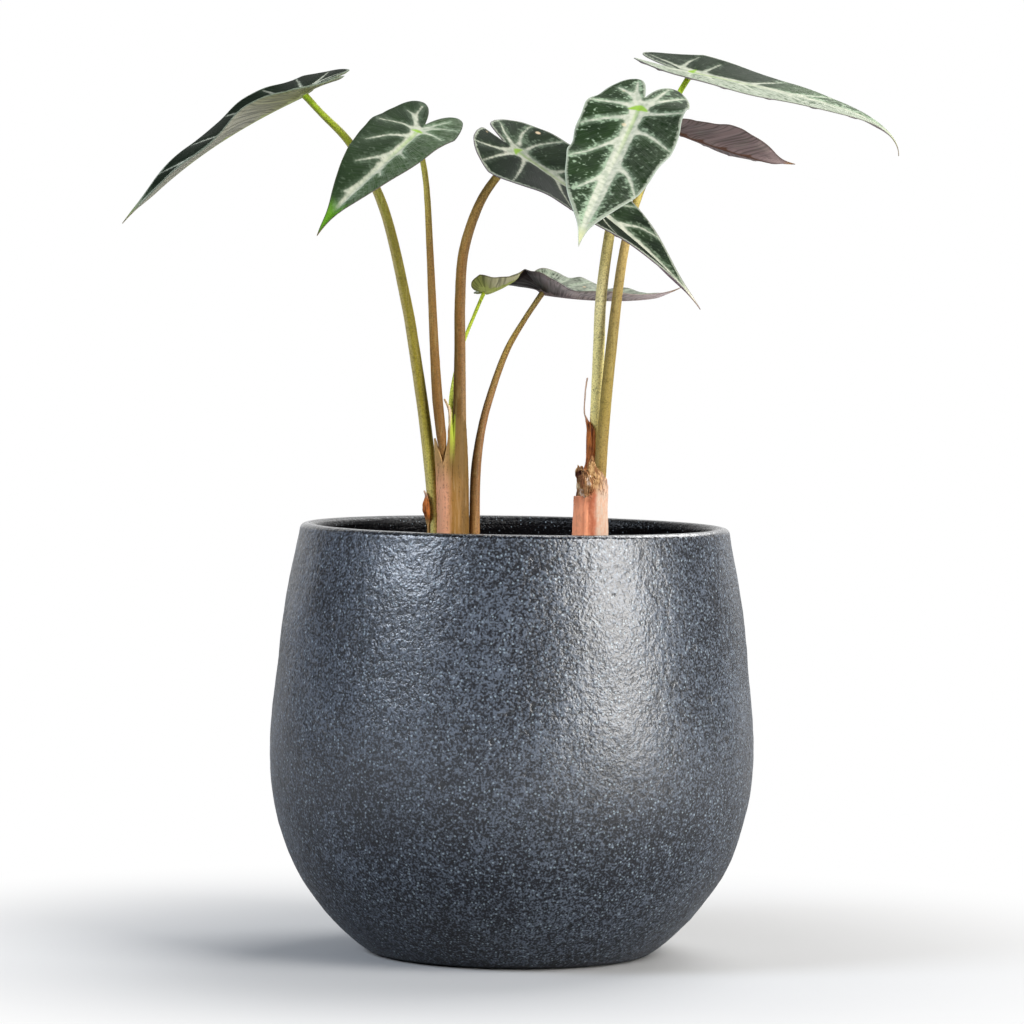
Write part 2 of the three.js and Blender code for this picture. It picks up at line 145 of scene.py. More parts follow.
LEAVES = [
    dict(
        PLAIN_LEAF, name="1", at=(-85.2, -12, 335.4), length=88, half=22.5, lobes=0.8, heading=172,
        pitch=-26, roll=-9,
        droop=23, sway=6, twist=-20, fold=(15, 19), unfold=(1, -13), lobe=(-21, -25), lobe_bend=-8,
        wave=2, waves=1.9, phase=(-57, -83), crimp=0.3, rows=190,
        midrib=1.7, band=0.7, frost=0.3, green=0.3, scars=0.3, halo=0.15, dim=(0, 0.9, 1),
        under="#7d7f55", under_end="#969585", under_vein="#98a070", tip="#8a9460", edge="#5d6a5c",
    ),
    dict(
        PLAIN_LEAF, name="2", at=(-40, -18, 320.7), length=79, half=16.5, heading=-116, pitch=-26, roll=-16,
        droop=10, hook=33, sway=-9, twist=-8, fold=(5, 13), unfold=(22, 13), lobe=(-9, 4), lobe_bend=-9,
        wave=0.5, phase=(-90, 10), rows=190, across=38,
        midrib=1.4, band=0, frost=0.25, green=0.75, scars=0, painted_sheen=0.15, bright=0.85, pale=(0.14, 0),
        dim=(0, 0.6, 0.95),
        tip="#4f7a1e", tip_from=0.76, edge="#39402f",
    ),
    dict(
        PLAIN_LEAF, name="3", at=(-1.3, -20, 313.7), length=95, half=24.5, heading=-16, pitch=-32, roll=25,
        droop=18, hook=10, sway=2, twist=-17, fold=(3, 1), unfold=(7, 13), lobe=(-30, 16), lobe_bend=28,
        wave=-0.9, phase=(36, 40), crimp=0.4, across=44,
        midrib=1.7, band=0.9, frost=0.3, green=0.12, scars=0.6, painted_sheen=0.12, halo=0.25, bright=0.95,
        dim=(0.2, 0.8, 1),
        under="#6f565f", under_end="#6f565f", under_vein="#9a8087", tip="#c4c0ae", edge="#5b545a",
    ),
    dict(
        PLAIN_LEAF, name="4", at=(45.2, -36, 330.1), length=93, half=20, lobes=0.9, heading=-115, pitch=-43,
        roll=-6,
        droop=-26, hook=32, sway=10, twist=-11, fold=(2, 12), unfold=(-2, -2), lobe=(-36, -19),
        lobe_bend=-27,
        wave=1.7, waves=2.9, phase=(39, 15), crimp=1, across=44,
        midrib=2.6, band=0.8, frost=0.9, green=0.35, scars=1, painted_sheen=0.12, halo=0.5, pale=(0.1, 0),
        dim=(0.35, 0.15, 0.9),
        tip="#b9ba8e", edge="#9fab9c",
    ),
    dict(
        PLAIN_LEAF, name="5", at=(66.8, 8, 346.3), length=92, half=19.5, lobes=0.9, heading=-12, pitch=-11,
        roll=17,
        droop=9, hook=76, sway=6, twist=-3, fold=(8, 10), unfold=(-12, -7), lobe=(-11, 6), lobe_bend=8,
        wave=0.3, phase=(0, 0), crimp=0,
        midrib=1.9, band=0.9, frost=0.7, green=0.9, painted_sheen=0.15, bright=0.85, pale=(0.2, 1),
        dim=(0.82, 0, 0.5),
        tip="#a9b083", edge="#6a6f62",
    ),
    dict(
        PLAIN_LEAF, name="6", at=(61.8, 36, 324.9), length=55, half=17.5, heading=23, pitch=-18, roll=-2,
        droop=-9, hook=-8, sway=2, twist=-18, fold=(14, 9), unfold=(-5, 8), lobe=(0, -14), lobe_bend=-1,
        wave=0.5, waves=2.4, phase=(150, 165), rows=150, across=34,
        midrib=1.3, band=0.5, frost=0.4, green=0.3, bright=0.8,
        under="#7a6866", under_end="#82706f", under_vein="#5b4034", tip="#7d6258", edge="#4a3a30",
    ),
    dict(
        PLAIN_LEAF, name="7", at=(-13.2, 10, 259.6), length=17, half=10.5, heading=0, pitch=19, roll=-12,
        droop=-23, hook=4, sway=-2, twist=17, fold=(18, 29), unfold=(-4, -19), lobe=(0, 2), lobe_bend=1,
        wave=0.2, phase=(0, 0), crimp=0, rows=80, across=24,
        midrib=0.6, band=0.2, frost=0.3, green=1, scars=0, halo=0.2, bright=0.7,
        under="#98a05a", under_end="#c4c19a", under_vein="#aab468", tip="#8a9448", edge="#5d5a3a",
    ),
    dict(
        PLAIN_LEAF, name="8", at=(10.2, 36, 260), length=59, half=21, lobes=0.7, heading=-30, pitch=-7,
        roll=-3,
        droop=-17, hook=-20, sway=16, twist=-5, fold=(17, 28), unfold=(-2, -29), lobe=(34, -59),
        lobe_bend=24,
        wave=1.3, waves=2.4, phase=(0, -63), crimp=0.5, rows=150, across=38,
        midrib=1.1, band=0.6, frost=0.75, green=0.3, scars=0.4, painted_sheen=0.6, halo=0.7, bright=0.8,
        pale=(0.75, 0),
        # Painted shade: the underside is near-black near the stem, where it lies in shadow, and pales further
        # out.
        under="#1e1213", under_end="#c2b3b4", under_vein="#8d7f80", tip="#a89a92", edge="#6d6259",
    ),
]

# Where a blade's own side veins are read clearly, they stand here: left half, then right half.
OWN_VEINS = {
    "2": (
        [
            [(0, 0), (-0.1, 0.22), (-0.18, 0.42)],
            [(-0.03, 0.08), (-0.08, 0.42), (-0.1, 0.8)],
            [(0, 0.02), (0.01, 0.4), (0.06, 0.76)],
            [(0.2, 0), (0.25, 0.14), (0.31, 0.42)],
            [(0.4, 0), (0.45, 0.12), (0.5, 0.28)],
        ],
        [
            [(0, 0), (-0.11, 0.3), (-0.24, 0.41)],
            [(-0.09, 0.27), (-0.12, 0.42), (-0.13, 0.58)],
            [(0, 0.02), (0, 0.45), (0.08, 0.88)],
            [(0.05, 0), (0.15, 0.4), (0.3, 0.73)],
            [(0.26, 0), (0.38, 0.26), (0.49, 0.49)],
            [(0.62, 0), (0.66, 0.07), (0.7, 0.15)],
        ],
    ),
    "3": (
        [
            [(0, 0), (-0.09, 0.21), (-0.15, 0.46)],
            [(-0.02, 0.2), (-0.05, 0.5), (-0.06, 0.86)],
            [(0.02, 0), (0.03, 0.42), (0.09, 0.97)],
            [(0.16, 0), (0.22, 0.4), (0.33, 0.88)],
            [(0.34, 0), (0.41, 0.3), (0.5, 0.7)],
            [(0.51, 0), (0.58, 0.34), (0.67, 0.5)],
        ],
        [
            [(0, 0), (-0.07, 0.35), (-0.14, 0.72)],
            [(0, 0.08), (-0.03, 0.46), (-0.05, 0.92)],
            [(0.04, 0), (0.08, 0.44), (0.11, 0.98)],
            [(0.2, 0), (0.27, 0.4), (0.36, 0.84)],
            [(0.4, 0), (0.47, 0.3), (0.56, 0.62)],
        ],
    ),
    "4": (
        [
            [(0, 0), (-0.09, 0.21), (-0.2, 0.3)],
            [(-0.02, 0.1), (-0.09, 0.42), (-0.19, 0.68)],
            [(0.02, 0), (0.03, 0.42), (0.02, 0.98)],
            [(0.14, 0), (0.16, 0.4), (0.23, 0.93)],
            [(0.37, 0), (0.44, 0.37), (0.58, 0.68)],
        ],
        [
            [(0, 0), (-0.1, 0.2), (-0.2, 0.34)],
            [(-0.07, 0.18), (-0.1, 0.38), (-0.13, 0.62)],
            [(-0.01, 0.04), (-0.01, 0.45), (0.02, 0.92)],
            [(0.06, 0), (0.08, 0.34), (0.16, 0.94)],
            [(0.19, 0), (0.25, 0.3), (0.39, 0.82)],
            [(0.43, 0), (0.5, 0.2), (0.59, 0.48)],
        ],
    ),
    "5": (
        [
            [(0, 0), (-0.1, 0.22), (-0.21, 0.45)],
            [(-0.05, 0.14), (-0.04, 0.5), (-0.01, 0.82)],
            [(0.03, 0), (0.06, 0.33), (0.09, 0.72)],
            [(0.24, 0), (0.31, 0.37), (0.38, 0.8)],
            [(0.44, 0), (0.52, 0.3), (0.6, 0.6)],
        ],
        COMMON_VEINS,
    ),
}

# Each stem's line from its foot up to just under its blade, as (x, y, z, radius).
STEM_LINES = {
    "1": [(-31.6, 4, 165, 2.3), (-34.5, 3, 197, 2.4), (-40.4, -1, 236, 2.2), (-43.9, -3, 255, 2.1),
          (-54.1, -8, 294, 1.9), (-66.4, -10, 316, 1.6), (-78.2, -11.5, 328, 1.3)],
    "2": [(-27.8, -1, 189, 0.8), (-29.4, -2.6, 203, 2), (-31, -3, 216.5, 2.1), (-32.5, -4, 236, 1.8),
          (-34.8, -6, 275, 1.4), (-36.6, -9, 301, 1.2), (-38.6, -13.5, 313, 1.1)],
    "3": [(-22.4, 0, 165, 3.6), (-22.2, 0, 189, 3.2), (-22.3, 0, 203, 2.7), (-22.6, 0, 236, 2.2),
          (-22.8, -2, 255.7, 2.1), (-21.5, -5.5, 275.3, 2), (-15, -11, 294.7, 1.8), (-7, -16, 306.5, 1.6)],
    "4": [(29.3, 2.5, 165, 2.3), (30.8, 3, 202, 2.3), (31.8, 3, 237, 2.3), (32.3, 1, 256.6, 2.2),
          (35.2, 0, 282, 2.1), (38.8, -4, 301, 2), (42.6, -18, 318, 1.7)],
    "5": [(32.2, -1.6, 165, 2), (32.6, -1.9, 178, 2), (33.1, -2.4, 188, 2.3), (33.8, -3, 203, 2.3),
          (36.5, -3, 237, 2.2), (41.3, -3, 278, 1.8), (46.9, -1, 299.7, 1.5), (53.6, 1, 319.4, 1.3),
          (62, 5, 338.4, 1.1)],
    "6": [(31.5, 6.3, 165, 1.3), (33, 6.6, 198, 1.3), (35, 6.5, 217.5, 1.3), (37, 5.5, 237, 1.3),
          (39.2, 3, 256.7, 1.3), (42.2, 6, 280, 1.2), (48, 15, 300, 1.1), (56, 28, 317, 1)],
    "7": [(-25.2, 1.2, 195, 0.7), (-25.7, 3, 207, 1), (-25.7, 5, 217, 1), (-24.6, 7, 225, 0.9),
          (-22, 8, 237, 0.7), (-16.4, 9.3, 252, 0.7)],
    "8": [(-15.9, 2, 165, 2.1), (-15.7, 4.5, 189, 2), (-13.8, 10, 204.7, 1.6), (-11, 15, 216.5, 1.5),
          (-4.3, 24, 236, 1.3), (2.4, 31, 248, 1.1)],
}
ROOTED = ("1", "3", "4", "5", "6", "8")

# Colours up each stem, as (height, colour). Stem 4 from 215 to 255, the top of stem 5 and stem 7 are painted
# light: lighter than their own colour, to make up for the shade that falls on them.
STEM_COLOURS = {
    "1": [(165, "#e2d67c"), (197, "#c4b652"), (216, "#998a2c"), (255, "#857a2c"), (282, "#766f2a"),
          (300, "#868634"), (318, "#adbb33"), (333, "#8cb01c")],
    "2": [(190, "#94693a"), (211, "#7a5529"), (235, "#8d6733"), (275, "#92703a"), (300, "#b4a650"),
          (318, "#b8b850")],
    "3": [(165, "#9c773e"), (196, "#6c5225"), (216, "#6c4d23"), (240, "#835a2e"), (270, "#9a6f39"),
          (295, "#c09a55"), (310, "#c0b05c")],
    "4": [(165, "#c99a58"), (200, "#e0cc78"), (215, "#fbec9c"), (240, "#fdf0a4"), (255, "#fdf0b0"),
          (272, "#d0c07a"), (285, "#b8aa66")],
    "5": [(165, "#9a7643"), (194, "#9c8247"), (216, "#94803f"), (240, "#948046"), (285, "#b89e60"),
          (318, "#b4b44a"), (330, "#c4e83a")],
    "6": [(165, "#a88a52"), (250, "#877848"), (320, "#7a6d4c")],
    "7": [(195, "#c8d250"), (215, "#f2ff6c"), (235, "#d8f054"), (255, "#c4da3c")],
    "8": [(165, "#a37746"), (190, "#6f4f2c"), (215, "#926d41"), (240, "#c0a052"), (258, "#c8b068")],
}

# Painted light and shade on some stems: a colour for the side that faces left and one for the side facing
# right
STEM_SIDE_LIGHT_AND_SHADE = {"1": ("#c4b078", "#7d7222"), "3": ("#6b5620", "#a5835a"), "8": ("#6b4c2a", "#8f6440")}

# Rows of the sheaths and dry remnants as (height, middle x, middle y, half-width x, half-width y, from, to):
# each row runs round its middle between two angles.
SHEATH_BODY = [
    (131, -24.3, 0, 6.3, 4.8), (165, -24.3, 0, 6.3, 4.8), (178, -24.4, 0, 6.2, 4.7),
    (184, -24.3, 0, 5.95, 4.5), (189, -23.9, 0, 5.35, 4.2), (194, -23.4, -0.1, 4.6, 3.8),
    (199, -23, -0.1, 3.9, 3.3), (205, -22.6, 0, 3.1, 2.9), (212, -22.4, 0, 2.3, 2.3),
]
SLEEVE_BODY = [
    (131, 29.5, 0.8, 6.9, 8), (165, 29.5, 0.8, 6.7, 8), (173, 29.5, 0.8, 6.4, 8),
    (180, 29.6, 0.8, 6.3, 7.9), (187, 29.6, 0.8, 6.1, 8), (190, 29.6, 0.8, 5.8, 8),
    (193, 29.6, 0.8, 5.7, 8.1), (197, 29.6, 0.8, 5.6, 8.2),
]
# How high the sleeve reaches at each angle round it
SLEEVE_TOP = [
    (-270, 179), (-200, 179.3), (-168, 179.6), (-118, 180), (-113, 181), (-110, 185), (-107, 190),
    (-103, 192.3), (-97, 194), (-88, 196.3), (-82, 193.6), (-73, 191.6), (-52, 189.6), (-30, 187.6),
    (-10, 185.6), (8, 183.6), (40, 180.5), (90, 179),
]
SLEEVE_TEAR = [
    (176, 29.6, 0.8, 6.1, 7.6, -168, -112), (181, 29.6, 0.8, 5.9, 7.2, -158, -108),
    (185, 29.6, 0.8, 5.6, 6.8, -164, -108), (188.5, 29.6, 0.8, 6.1, 6.6, -158, -118),
    (191, 29.6, 0.8, 5, 6.4, -150, -136),
]
SLEEVE_FOLD = [
    (177, 29.6, 0.8, 5.3, 6.8, -142, -86), (181, 29.6, 0.8, 6.2, 8.1, -138, -88),
    (184, 29.6, 0.8, 6.2, 8.7, -136, -84), (187.5, 29.6, 0.8, 6, 8.2, -132, -92),
    (190, 29.6, 0.8, 5.8, 7.6, -128, -106),
]
DRY_SHEATH = [
    (183, 30.7, 2.9, 5.6, 5.6, 175, 240), (188, 30.7, 2.9, 4.6, 4.6, 172, 255),
    (193, 30.7, 2.9, 3.3, 3.3, 170, 270), (199, 30.7, 2.9, 3.1, 3.1, 170, 276),
    (206, 30.7, 2.9, 3.1, 3.1, 170, 268), (210, 30.7, 2.9, 3.7, 3.7, 180, 214),
    (213, 30.7, 2.9, 4.3, 4.3, 184, 197), (221, 30.7, 2.9, 3.9, 3.9, 184, 189),
    (226, 30.7, 2.9, 3.3, 3.3, 184, 187),
]
# Strips as rows of (height, places across as x, y): the sheath's left wing and right margin, and a dry flake
SHEATH_WING = [
    (172, [(-30.6, 2.4), (-30.1, -0.4), (-27.8, -3.1)]),
    (178, [(-30.7, 2.4), (-30.2, -0.5), (-27.8, -3.3)]), (184, [(-31, 2.4), (-30.5, -0.5), (-27.4, -3.6)]),
    (188, [(-31.1, 2.2), (-30.8, -0.6), (-27.4, -3.9)]),
    (191, [(-31.1, 1.8), (-31.1, -0.6), (-28.2, -3.7)]),
    (192.7, [(-31.2, 1.4), (-31.4, -0.6), (-28.8, -3.5)]),
    (196, [(-31.3, 0.8), (-31.6, -0.8), (-29.9, -3.1)]), (199, [(-31.6, 0.5), (-31.8, -0.8), (-31, -2)]),
    (201.5, [(-31.9, -0.2), (-31.9, -0.6), (-31.8, -0.9)]),
]
SHEATH_MARGIN = [
    (176, [(-28.2, -2.7), (-26.8, -3.6), (-25, -4)]), (184, [(-28.6, -3.2), (-27, -4), (-25, -4.3)]),
    (191, [(-28.6, -3.7), (-27.2, -4.1), (-25, -4)]), (193.5, [(-28.1, -3.8), (-27, -4), (-24.8, -3.7)]),
    (197, [(-27.4, -3.5), (-26.5, -3.6), (-24.6, -3.2)]),
    (201, [(-26.9, -3.3), (-26.1, -3.2), (-24.6, -2.6)]),
    (205, [(-26.7, -3), (-26.1, -2.9), (-24.9, -2.2)]), (209, [(-26.4, -2.7), (-26, -2.5), (-25.3, -2)]),
    (213, [(-26.8, -2.5), (-26.4, -2.3), (-25.9, -2.1)]),
    (217, [(-28.5, -2.4), (-28.3, -2.3), (-28.1, -2.2)]),
]
DRY_SCALE = [
    (143.6, [(-34.2, 3.6), (-34, 2.9), (-33.6, 2.2)]), (165, [(-34.2, 3.6), (-34, 2.9), (-33.6, 2.2)]),
    (168.5, [(-34.6, 3.4), (-34.3, 2.5), (-33.5, 1.8)]), (171, [(-35.4, 2.8), (-34.9, 1.3), (-33.4, 0.6)]),
    (173.5, [(-36.2, 2.6), (-35.7, 1), (-33.4, 0.4)]), (176, [(-36.1, 2.5), (-35.6, 0.9), (-33.7, 0.3)]),
    (178.2, [(-35.3, 2.4), (-35.1, 1), (-34.2, 0.5)]), (181, [(-35.8, 1.9), (-35.7, 1.5), (-35.5, 1.2)]),
]

# Studio lights, in metres: place, size and tint of each. All point at the pot. To the eye the floor fades
# to white between two distances from the pot's axis.
LIGHTS = {
    "top": ((0.6, 0.8, 1.3), (1.1, 1.1), (1, 1, 1)),
    "right": ((1.22, -0.94, 0.8), (0.85, 1.5), (1, 0.99, 0.97)),
    "left": ((-1.3, -0.79, 1.05), (0.65, 0.6), (0.8, 0.88, 1)),
}
LIGHT_AIM = (0, 0, 0.12)
FLOOR_FADE = (0.1, 0.32)

# Camera: where it stands and looks, how it is rolled, and its focal length in pixels of a square picture
CAMERA_AT = (0, -2000, 261)
CAMERA_AIM = (-1.25, 0, 173)
CAMERA_ROLL = 0.866
FOCAL_PIXELS = 5106
PICTURE_SIDE = 1024
SENSOR = 36


def paint(shade):
    """A colour written as #rrggbb, as the linear values that shaders take."""
    parts = [int(shade[i:i + 2], 16) / 255 for i in (1, 3, 5)]
    return tuple(c / 12.92 if c <= 0.04045 else ((c + 0.055) / 1.055) ** 2.4 for c in parts)


def watts_of(name, description, default):
    return bpy.props.FloatProperty(name=name, description=description, default=default, unit="POWER")


def size_of(name, description, millimetres):
    return bpy.props.FloatProperty(
        name=name, description=description, default=millimetres * MM, min=0, unit="LENGTH", precision=5,
    )


def colour_of(name, description, shade):
    return bpy.props.FloatVectorProperty(
        name=name, description=description, default=paint(shade), min=0, max=1, size=3, subtype="COLOR",
    )


def amount_of(name, description, value):
    return bpy.props.FloatProperty(name=name, description=description, default=value, min=0, subtype="FACTOR")


class PotSettings(bpy.types.PropertyGroup):
    """Sizes and colours of the pot."""

    height: size_of("Height", "From the foot to the top of the lip", POT_HEIGHT)
    lumps: size_of("Lumps", "Height of the broad unevenness of the wall", 0.9)
    dents: size_of("Dents", "Height of the small dents and ridges", 0.32)
    stone: colour_of("Stone", "Dark grain of the stoneware", "#111319")
    stone_light: colour_of("Light grain", "Light grain of the stoneware", "#525a66")
    speck: colour_of("Speck", "Pale specks in the stoneware", "#93a3ad")
    pit: colour_of("Pit", "Small dark pits", "#15181d")
    glaze: colour_of("Glaze", "Black glaze inside and on the lip", "#08090c")


class SoilSettings(bpy.types.PropertyGroup):
    """Sizes and colours of the soil."""

    relief: size_of("Relief", "Height of the crumbs on the surface", 2.2)
    crumbs: bpy.props.IntProperty(name="Crumbs", description="Loose crumbs on top", default=300, min=0)
    dark: colour_of("Dark soil", "Damp peat", "#1d1612")
    light: colour_of("Light soil", "Dry crumbs", "#5a4533")
    bark: colour_of("Bark", "Chips of bark", "#6b4a30")
    perlite: colour_of("Perlite", "White grains", "#d9d4c8")


class BladeSettings(bpy.types.PropertyGroup):
    """Sizes and colours of the blades."""

    thickness: size_of("Thickness", "Thickness in the middle of a panel", 0.8)
    panel_rise: size_of("Panel rise", "How far the panels stand above the veins", 0.34)
    keel: size_of("Keel", "How far the midrib stands out below", 0.9)
    dark: colour_of("Dark panel", "Panels of the darkest blade", "#131b13")
    green: colour_of("Green panel", "Panels of the greenest blade", "#34492a")
    # Painted sheen: the colour of the pale reflection streaks painted on the panels.
    painted_sheen: colour_of("Sheen", "Pale streaks in the panels", "#6f7a70")
    vein: colour_of("Vein", "Pale veins", "#b7b8a7")
    vein_shade: colour_of("Vein shade", "Shaded patches in the veins", "#979e8d")
    frost: colour_of("Frost", "Pale flecks beside the veins", "#93a78c")
    scar: colour_of("Scar", "Small dry scars", "#c9b292")
    heart: colour_of("Heart", "Yellow-green where the stem meets the blade", "#7ba02c")
    tip_end: colour_of("Tip end", "The dry end of the tip", "#a8825c")


class StemSettings(bpy.types.PropertyGroup):
    """Colours of the stems and sheaths."""

    fleck: colour_of("Fleck", "Dark flecks on the stems", "#3f3014")
    # The coral is the sleeve's own hue, painted lighter to stand for light on its left side.
    coral: colour_of("Coral", "Left side of the right-hand sheath", "#ffa97e")
    coral_dark: colour_of("Dark coral", "Streaks in the coral", "#c8744f")
    cream: colour_of("Cream", "Right side of the right-hand sheath", "#d0b59f")
    pink: colour_of("Pink", "Left side of the left-hand sheath", "#e2a17c")
    margin: colour_of("Margin", "Dry margin of a sheath", "#d6bb94")


class DrySettings(bpy.types.PropertyGroup):
    """Colours of the papery remnants."""

    brown: colour_of("Brown", "Papery brown", "#cc7633")
    dark: colour_of("Dark brown", "Torn and folded edges", "#4a1f0d")
    pale: colour_of("Pale", "Bleached threads and points", "#c6a68e")


class StageSettings(bpy.types.PropertyGroup):
    """Floor and studio lights."""

    floor: colour_of("Floor", "Plain pale floor", "#b6b6b6")
    top: watts_of("Top", "Watts of the light overhead", 24)
    right: watts_of("Right", "Watts of the right light", 46)
    left: watts_of("Left", "Watts of the left light", 25)
    room: amount_of("Room", "Strength of the light from all round", 1)


# Shared shapes


def through(points, steps):
    """Smooth line through rows of points, with steps to each stretch between two of them."""
    points = np.array(points, float)
    last = len(points) - 1
    place = np.linspace(0, last, last * steps + 1)
    i = np.minimum(place.astype(int), last - 1)
    s = (place - i).reshape((-1,) + (1,) * (points.ndim - 1))
    a, b, c, d = (points[np.clip(i + k, 0, last)] for k in (-1, 0, 1, 2))
    start, end = (c - a) / 2, (d - b) / 2
    return (2 * b - 2 * c + start + end) * s ** 3 + (3 * c - 3 * b - 2 * start - end) * s ** 2 + start * s + b


def stem_line(stations, steps):
    """Centripetal line through the stations and their radii, steps to each stretch."""
    table = np.array(stations, float)
    points = np.vstack([2 * table[0, :3] - table[1, :3], table[:, :3], 2 * table[-1, :3] - table[-2, :3]])
    s = (np.arange(steps) / steps)[:, None]
    line = []
    for p0, p1, p2, p3 in zip(points, points[1:], points[2:], points[3:]):
        d0, d1, d2 = (math.sqrt(np.linalg.norm(b - a)) for a, b in ((p0, p1), (p1, p2), (p2, p3)))
        start = ((p1 - p0) / d0 - (p2 - p0) / (d0 + d1) + (p2 - p1) / d1) * d1
        end = ((p2 - p1) / d1 - (p3 - p1) / (d1 + d2) + (p3 - p2) / d2) * d1
        line.append((2 * p1 - 2 * p2 + start + end) * s ** 3 + (3 * p2 - 3 * p1 - 2 * start - end) * s ** 2
                    + start * s + p1)
    line = np.vstack([*line, table[-1:, :3]])
    return line, np.interp(line[:, 2], table[:, 2], table[:, 3])


def smoothly(value, low, high):
    """0 below low and 1 above high, with a soft rise between."""
    s = np.clip((value - low) / (high - low), 0, 1)
    return s * s * (3 - 2 * s)


def select_only(*objects):
    bpy.ops.object.select_all(action="DESELECT")
    for obj in objects:
        obj.select_set(True)
        bpy.context.view_layer.objects.active = obj


def edit(*steps):
    """Runs edit-mode steps on the active mesh, with all of it selected first."""
    bpy.ops.object.mode_set(mode="EDIT")
    bpy.ops.mesh.select_all(action="SELECT")
    for step, settings in steps:
        step(**settings)
    bpy.ops.object.mode_set(mode="OBJECT")


def apply_modifier(obj, kind, **settings):
    select_only(obj)
    modifier = obj.modifiers.new(kind.title(), kind)
    for key, value in settings.items():
        setattr(modifier, key, value)
    bpy.ops.object.modifier_apply(modifier=modifier.name)


def places_of(obj):
    co = np.empty(len(obj.data.vertices) * 3, np.float32)
    obj.data.vertices.foreach_get("co", co)
    return co.reshape(-1, 3).astype(float)


def move_to(obj, places):
    obj.data.vertices.foreach_set("co", np.asarray(places, np.float32).ravel())
    obj.data.update()


def normals_of(obj):
    normals = np.empty(len(obj.data.vertices) * 3, np.float32)
    obj.data.vertex_normals.foreach_get("vector", normals)
    return normals.reshape(-1, 3).astype(float)


def write_values(obj, name, values):
    """Stores a number, or three, for each vertex."""
    kind = "FLOAT" if np.ndim(values) == 1 else "FLOAT_VECTOR"
    layer = obj.data.attributes.new(name, kind, "POINT")
    layer.data.foreach_set("value" if kind == "FLOAT" else "vector", np.asarray(values, np.float32).ravel())


def read_values(obj, name):
    values = np.empty(len(obj.data.vertices), np.float32)
    obj.data.attributes[name].data.foreach_get("value", values)
    return values.astype(float)


def settle(obj):
    """Puts the object's place into its mesh."""
    select_only(obj)
    bpy.ops.object.transform_apply(location=True, rotation=True, scale=True)


def dress(obj, nodes, slot, *materials, angle=40):
    """Gives a finished piece its materials and its place in the frame."""
    settle(obj)
    for material in materials:
        obj.data.materials.append(material)
    bpy.ops.object.shade_smooth_by_angle(angle=math.radians(angle))
    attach(obj, "root")
    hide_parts(*nodes)


def clouds(name, size, depth=2):
    texture = bpy.data.textures.new(name, "CLOUDS")
    texture.noise_scale = size * MM
    texture.noise_depth = depth
    return texture


def raise_surface(obj, texture, height, group=""):
    """Lifts and sinks the surface along its normals by up to half the height, in metres."""
    apply_modifier(
        obj, "DISPLACE", texture=texture, texture_coords="LOCAL", strength=height, mid_level=0.5,
        vertex_group=group,
    )


def weigh(obj, name, weights):
    """Adds a vertex group with one weight for each vertex."""
    group = obj.vertex_groups.new(name=name)
    levels = np.round(weights * 20).astype(int)
    for level in range(1, 21):
        chosen = np.flatnonzero(levels == level).tolist()
        if chosen:
            group.add(chosen, level / 20, "REPLACE")


def grow_rings(name, rings, sides):
    """Extrudes a filled circle from ring to ring, each as (radius, height), into one closed body."""
    bpy.ops.object.select_all(action="DESELECT")
    radius, height = rings[0]
    bpy.ops.mesh.primitive_circle_add(
        vertices=sides, radius=radius * MM, fill_type="NGON", location=(0, 0, height * MM),
    )
    obj = bpy.context.active_object
    obj.name = name
    bpy.ops.object.mode_set(mode="EDIT")
    bpy.ops.mesh.select_all(action="SELECT")
    for wide, high in rings[1:]:
        bpy.ops.mesh.extrude_region_move(TRANSFORM_OT_translate={"value": (0, 0, (high - height) * MM)})
        grow = wide / radius
        bpy.ops.transform.resize(value=(grow, grow, 1), center_override=(0, 0, high * MM))
        radius, height = wide, high
    bpy.ops.mesh.select_all(action="SELECT")
    bpy.ops.mesh.normals_make_consistent(inside=False)
    bpy.ops.object.mode_set(mode="OBJECT")
    settle(obj)
    return obj


def lay_sheet(name, grid):
    """Lays a flat grid primitive over rows and columns of places, in metres."""
    rows, columns = grid.shape[0] - 1, grid.shape[1] - 1
    bpy.ops.object.select_all(action="DESELECT")
    bpy.ops.mesh.primitive_grid_add(x_subdivisions=rows, y_subdivisions=columns, size=2)
    obj = bpy.context.active_object
    obj.name = name
    flat = places_of(obj)
    i = np.rint((flat[:, 0] + 1) / 2 * rows).astype(int)
    j = np.rint((flat[:, 1] + 1) / 2 * columns).astype(int)
    move_to(obj, grid[i, j])
    return obj, i, j


# Materials


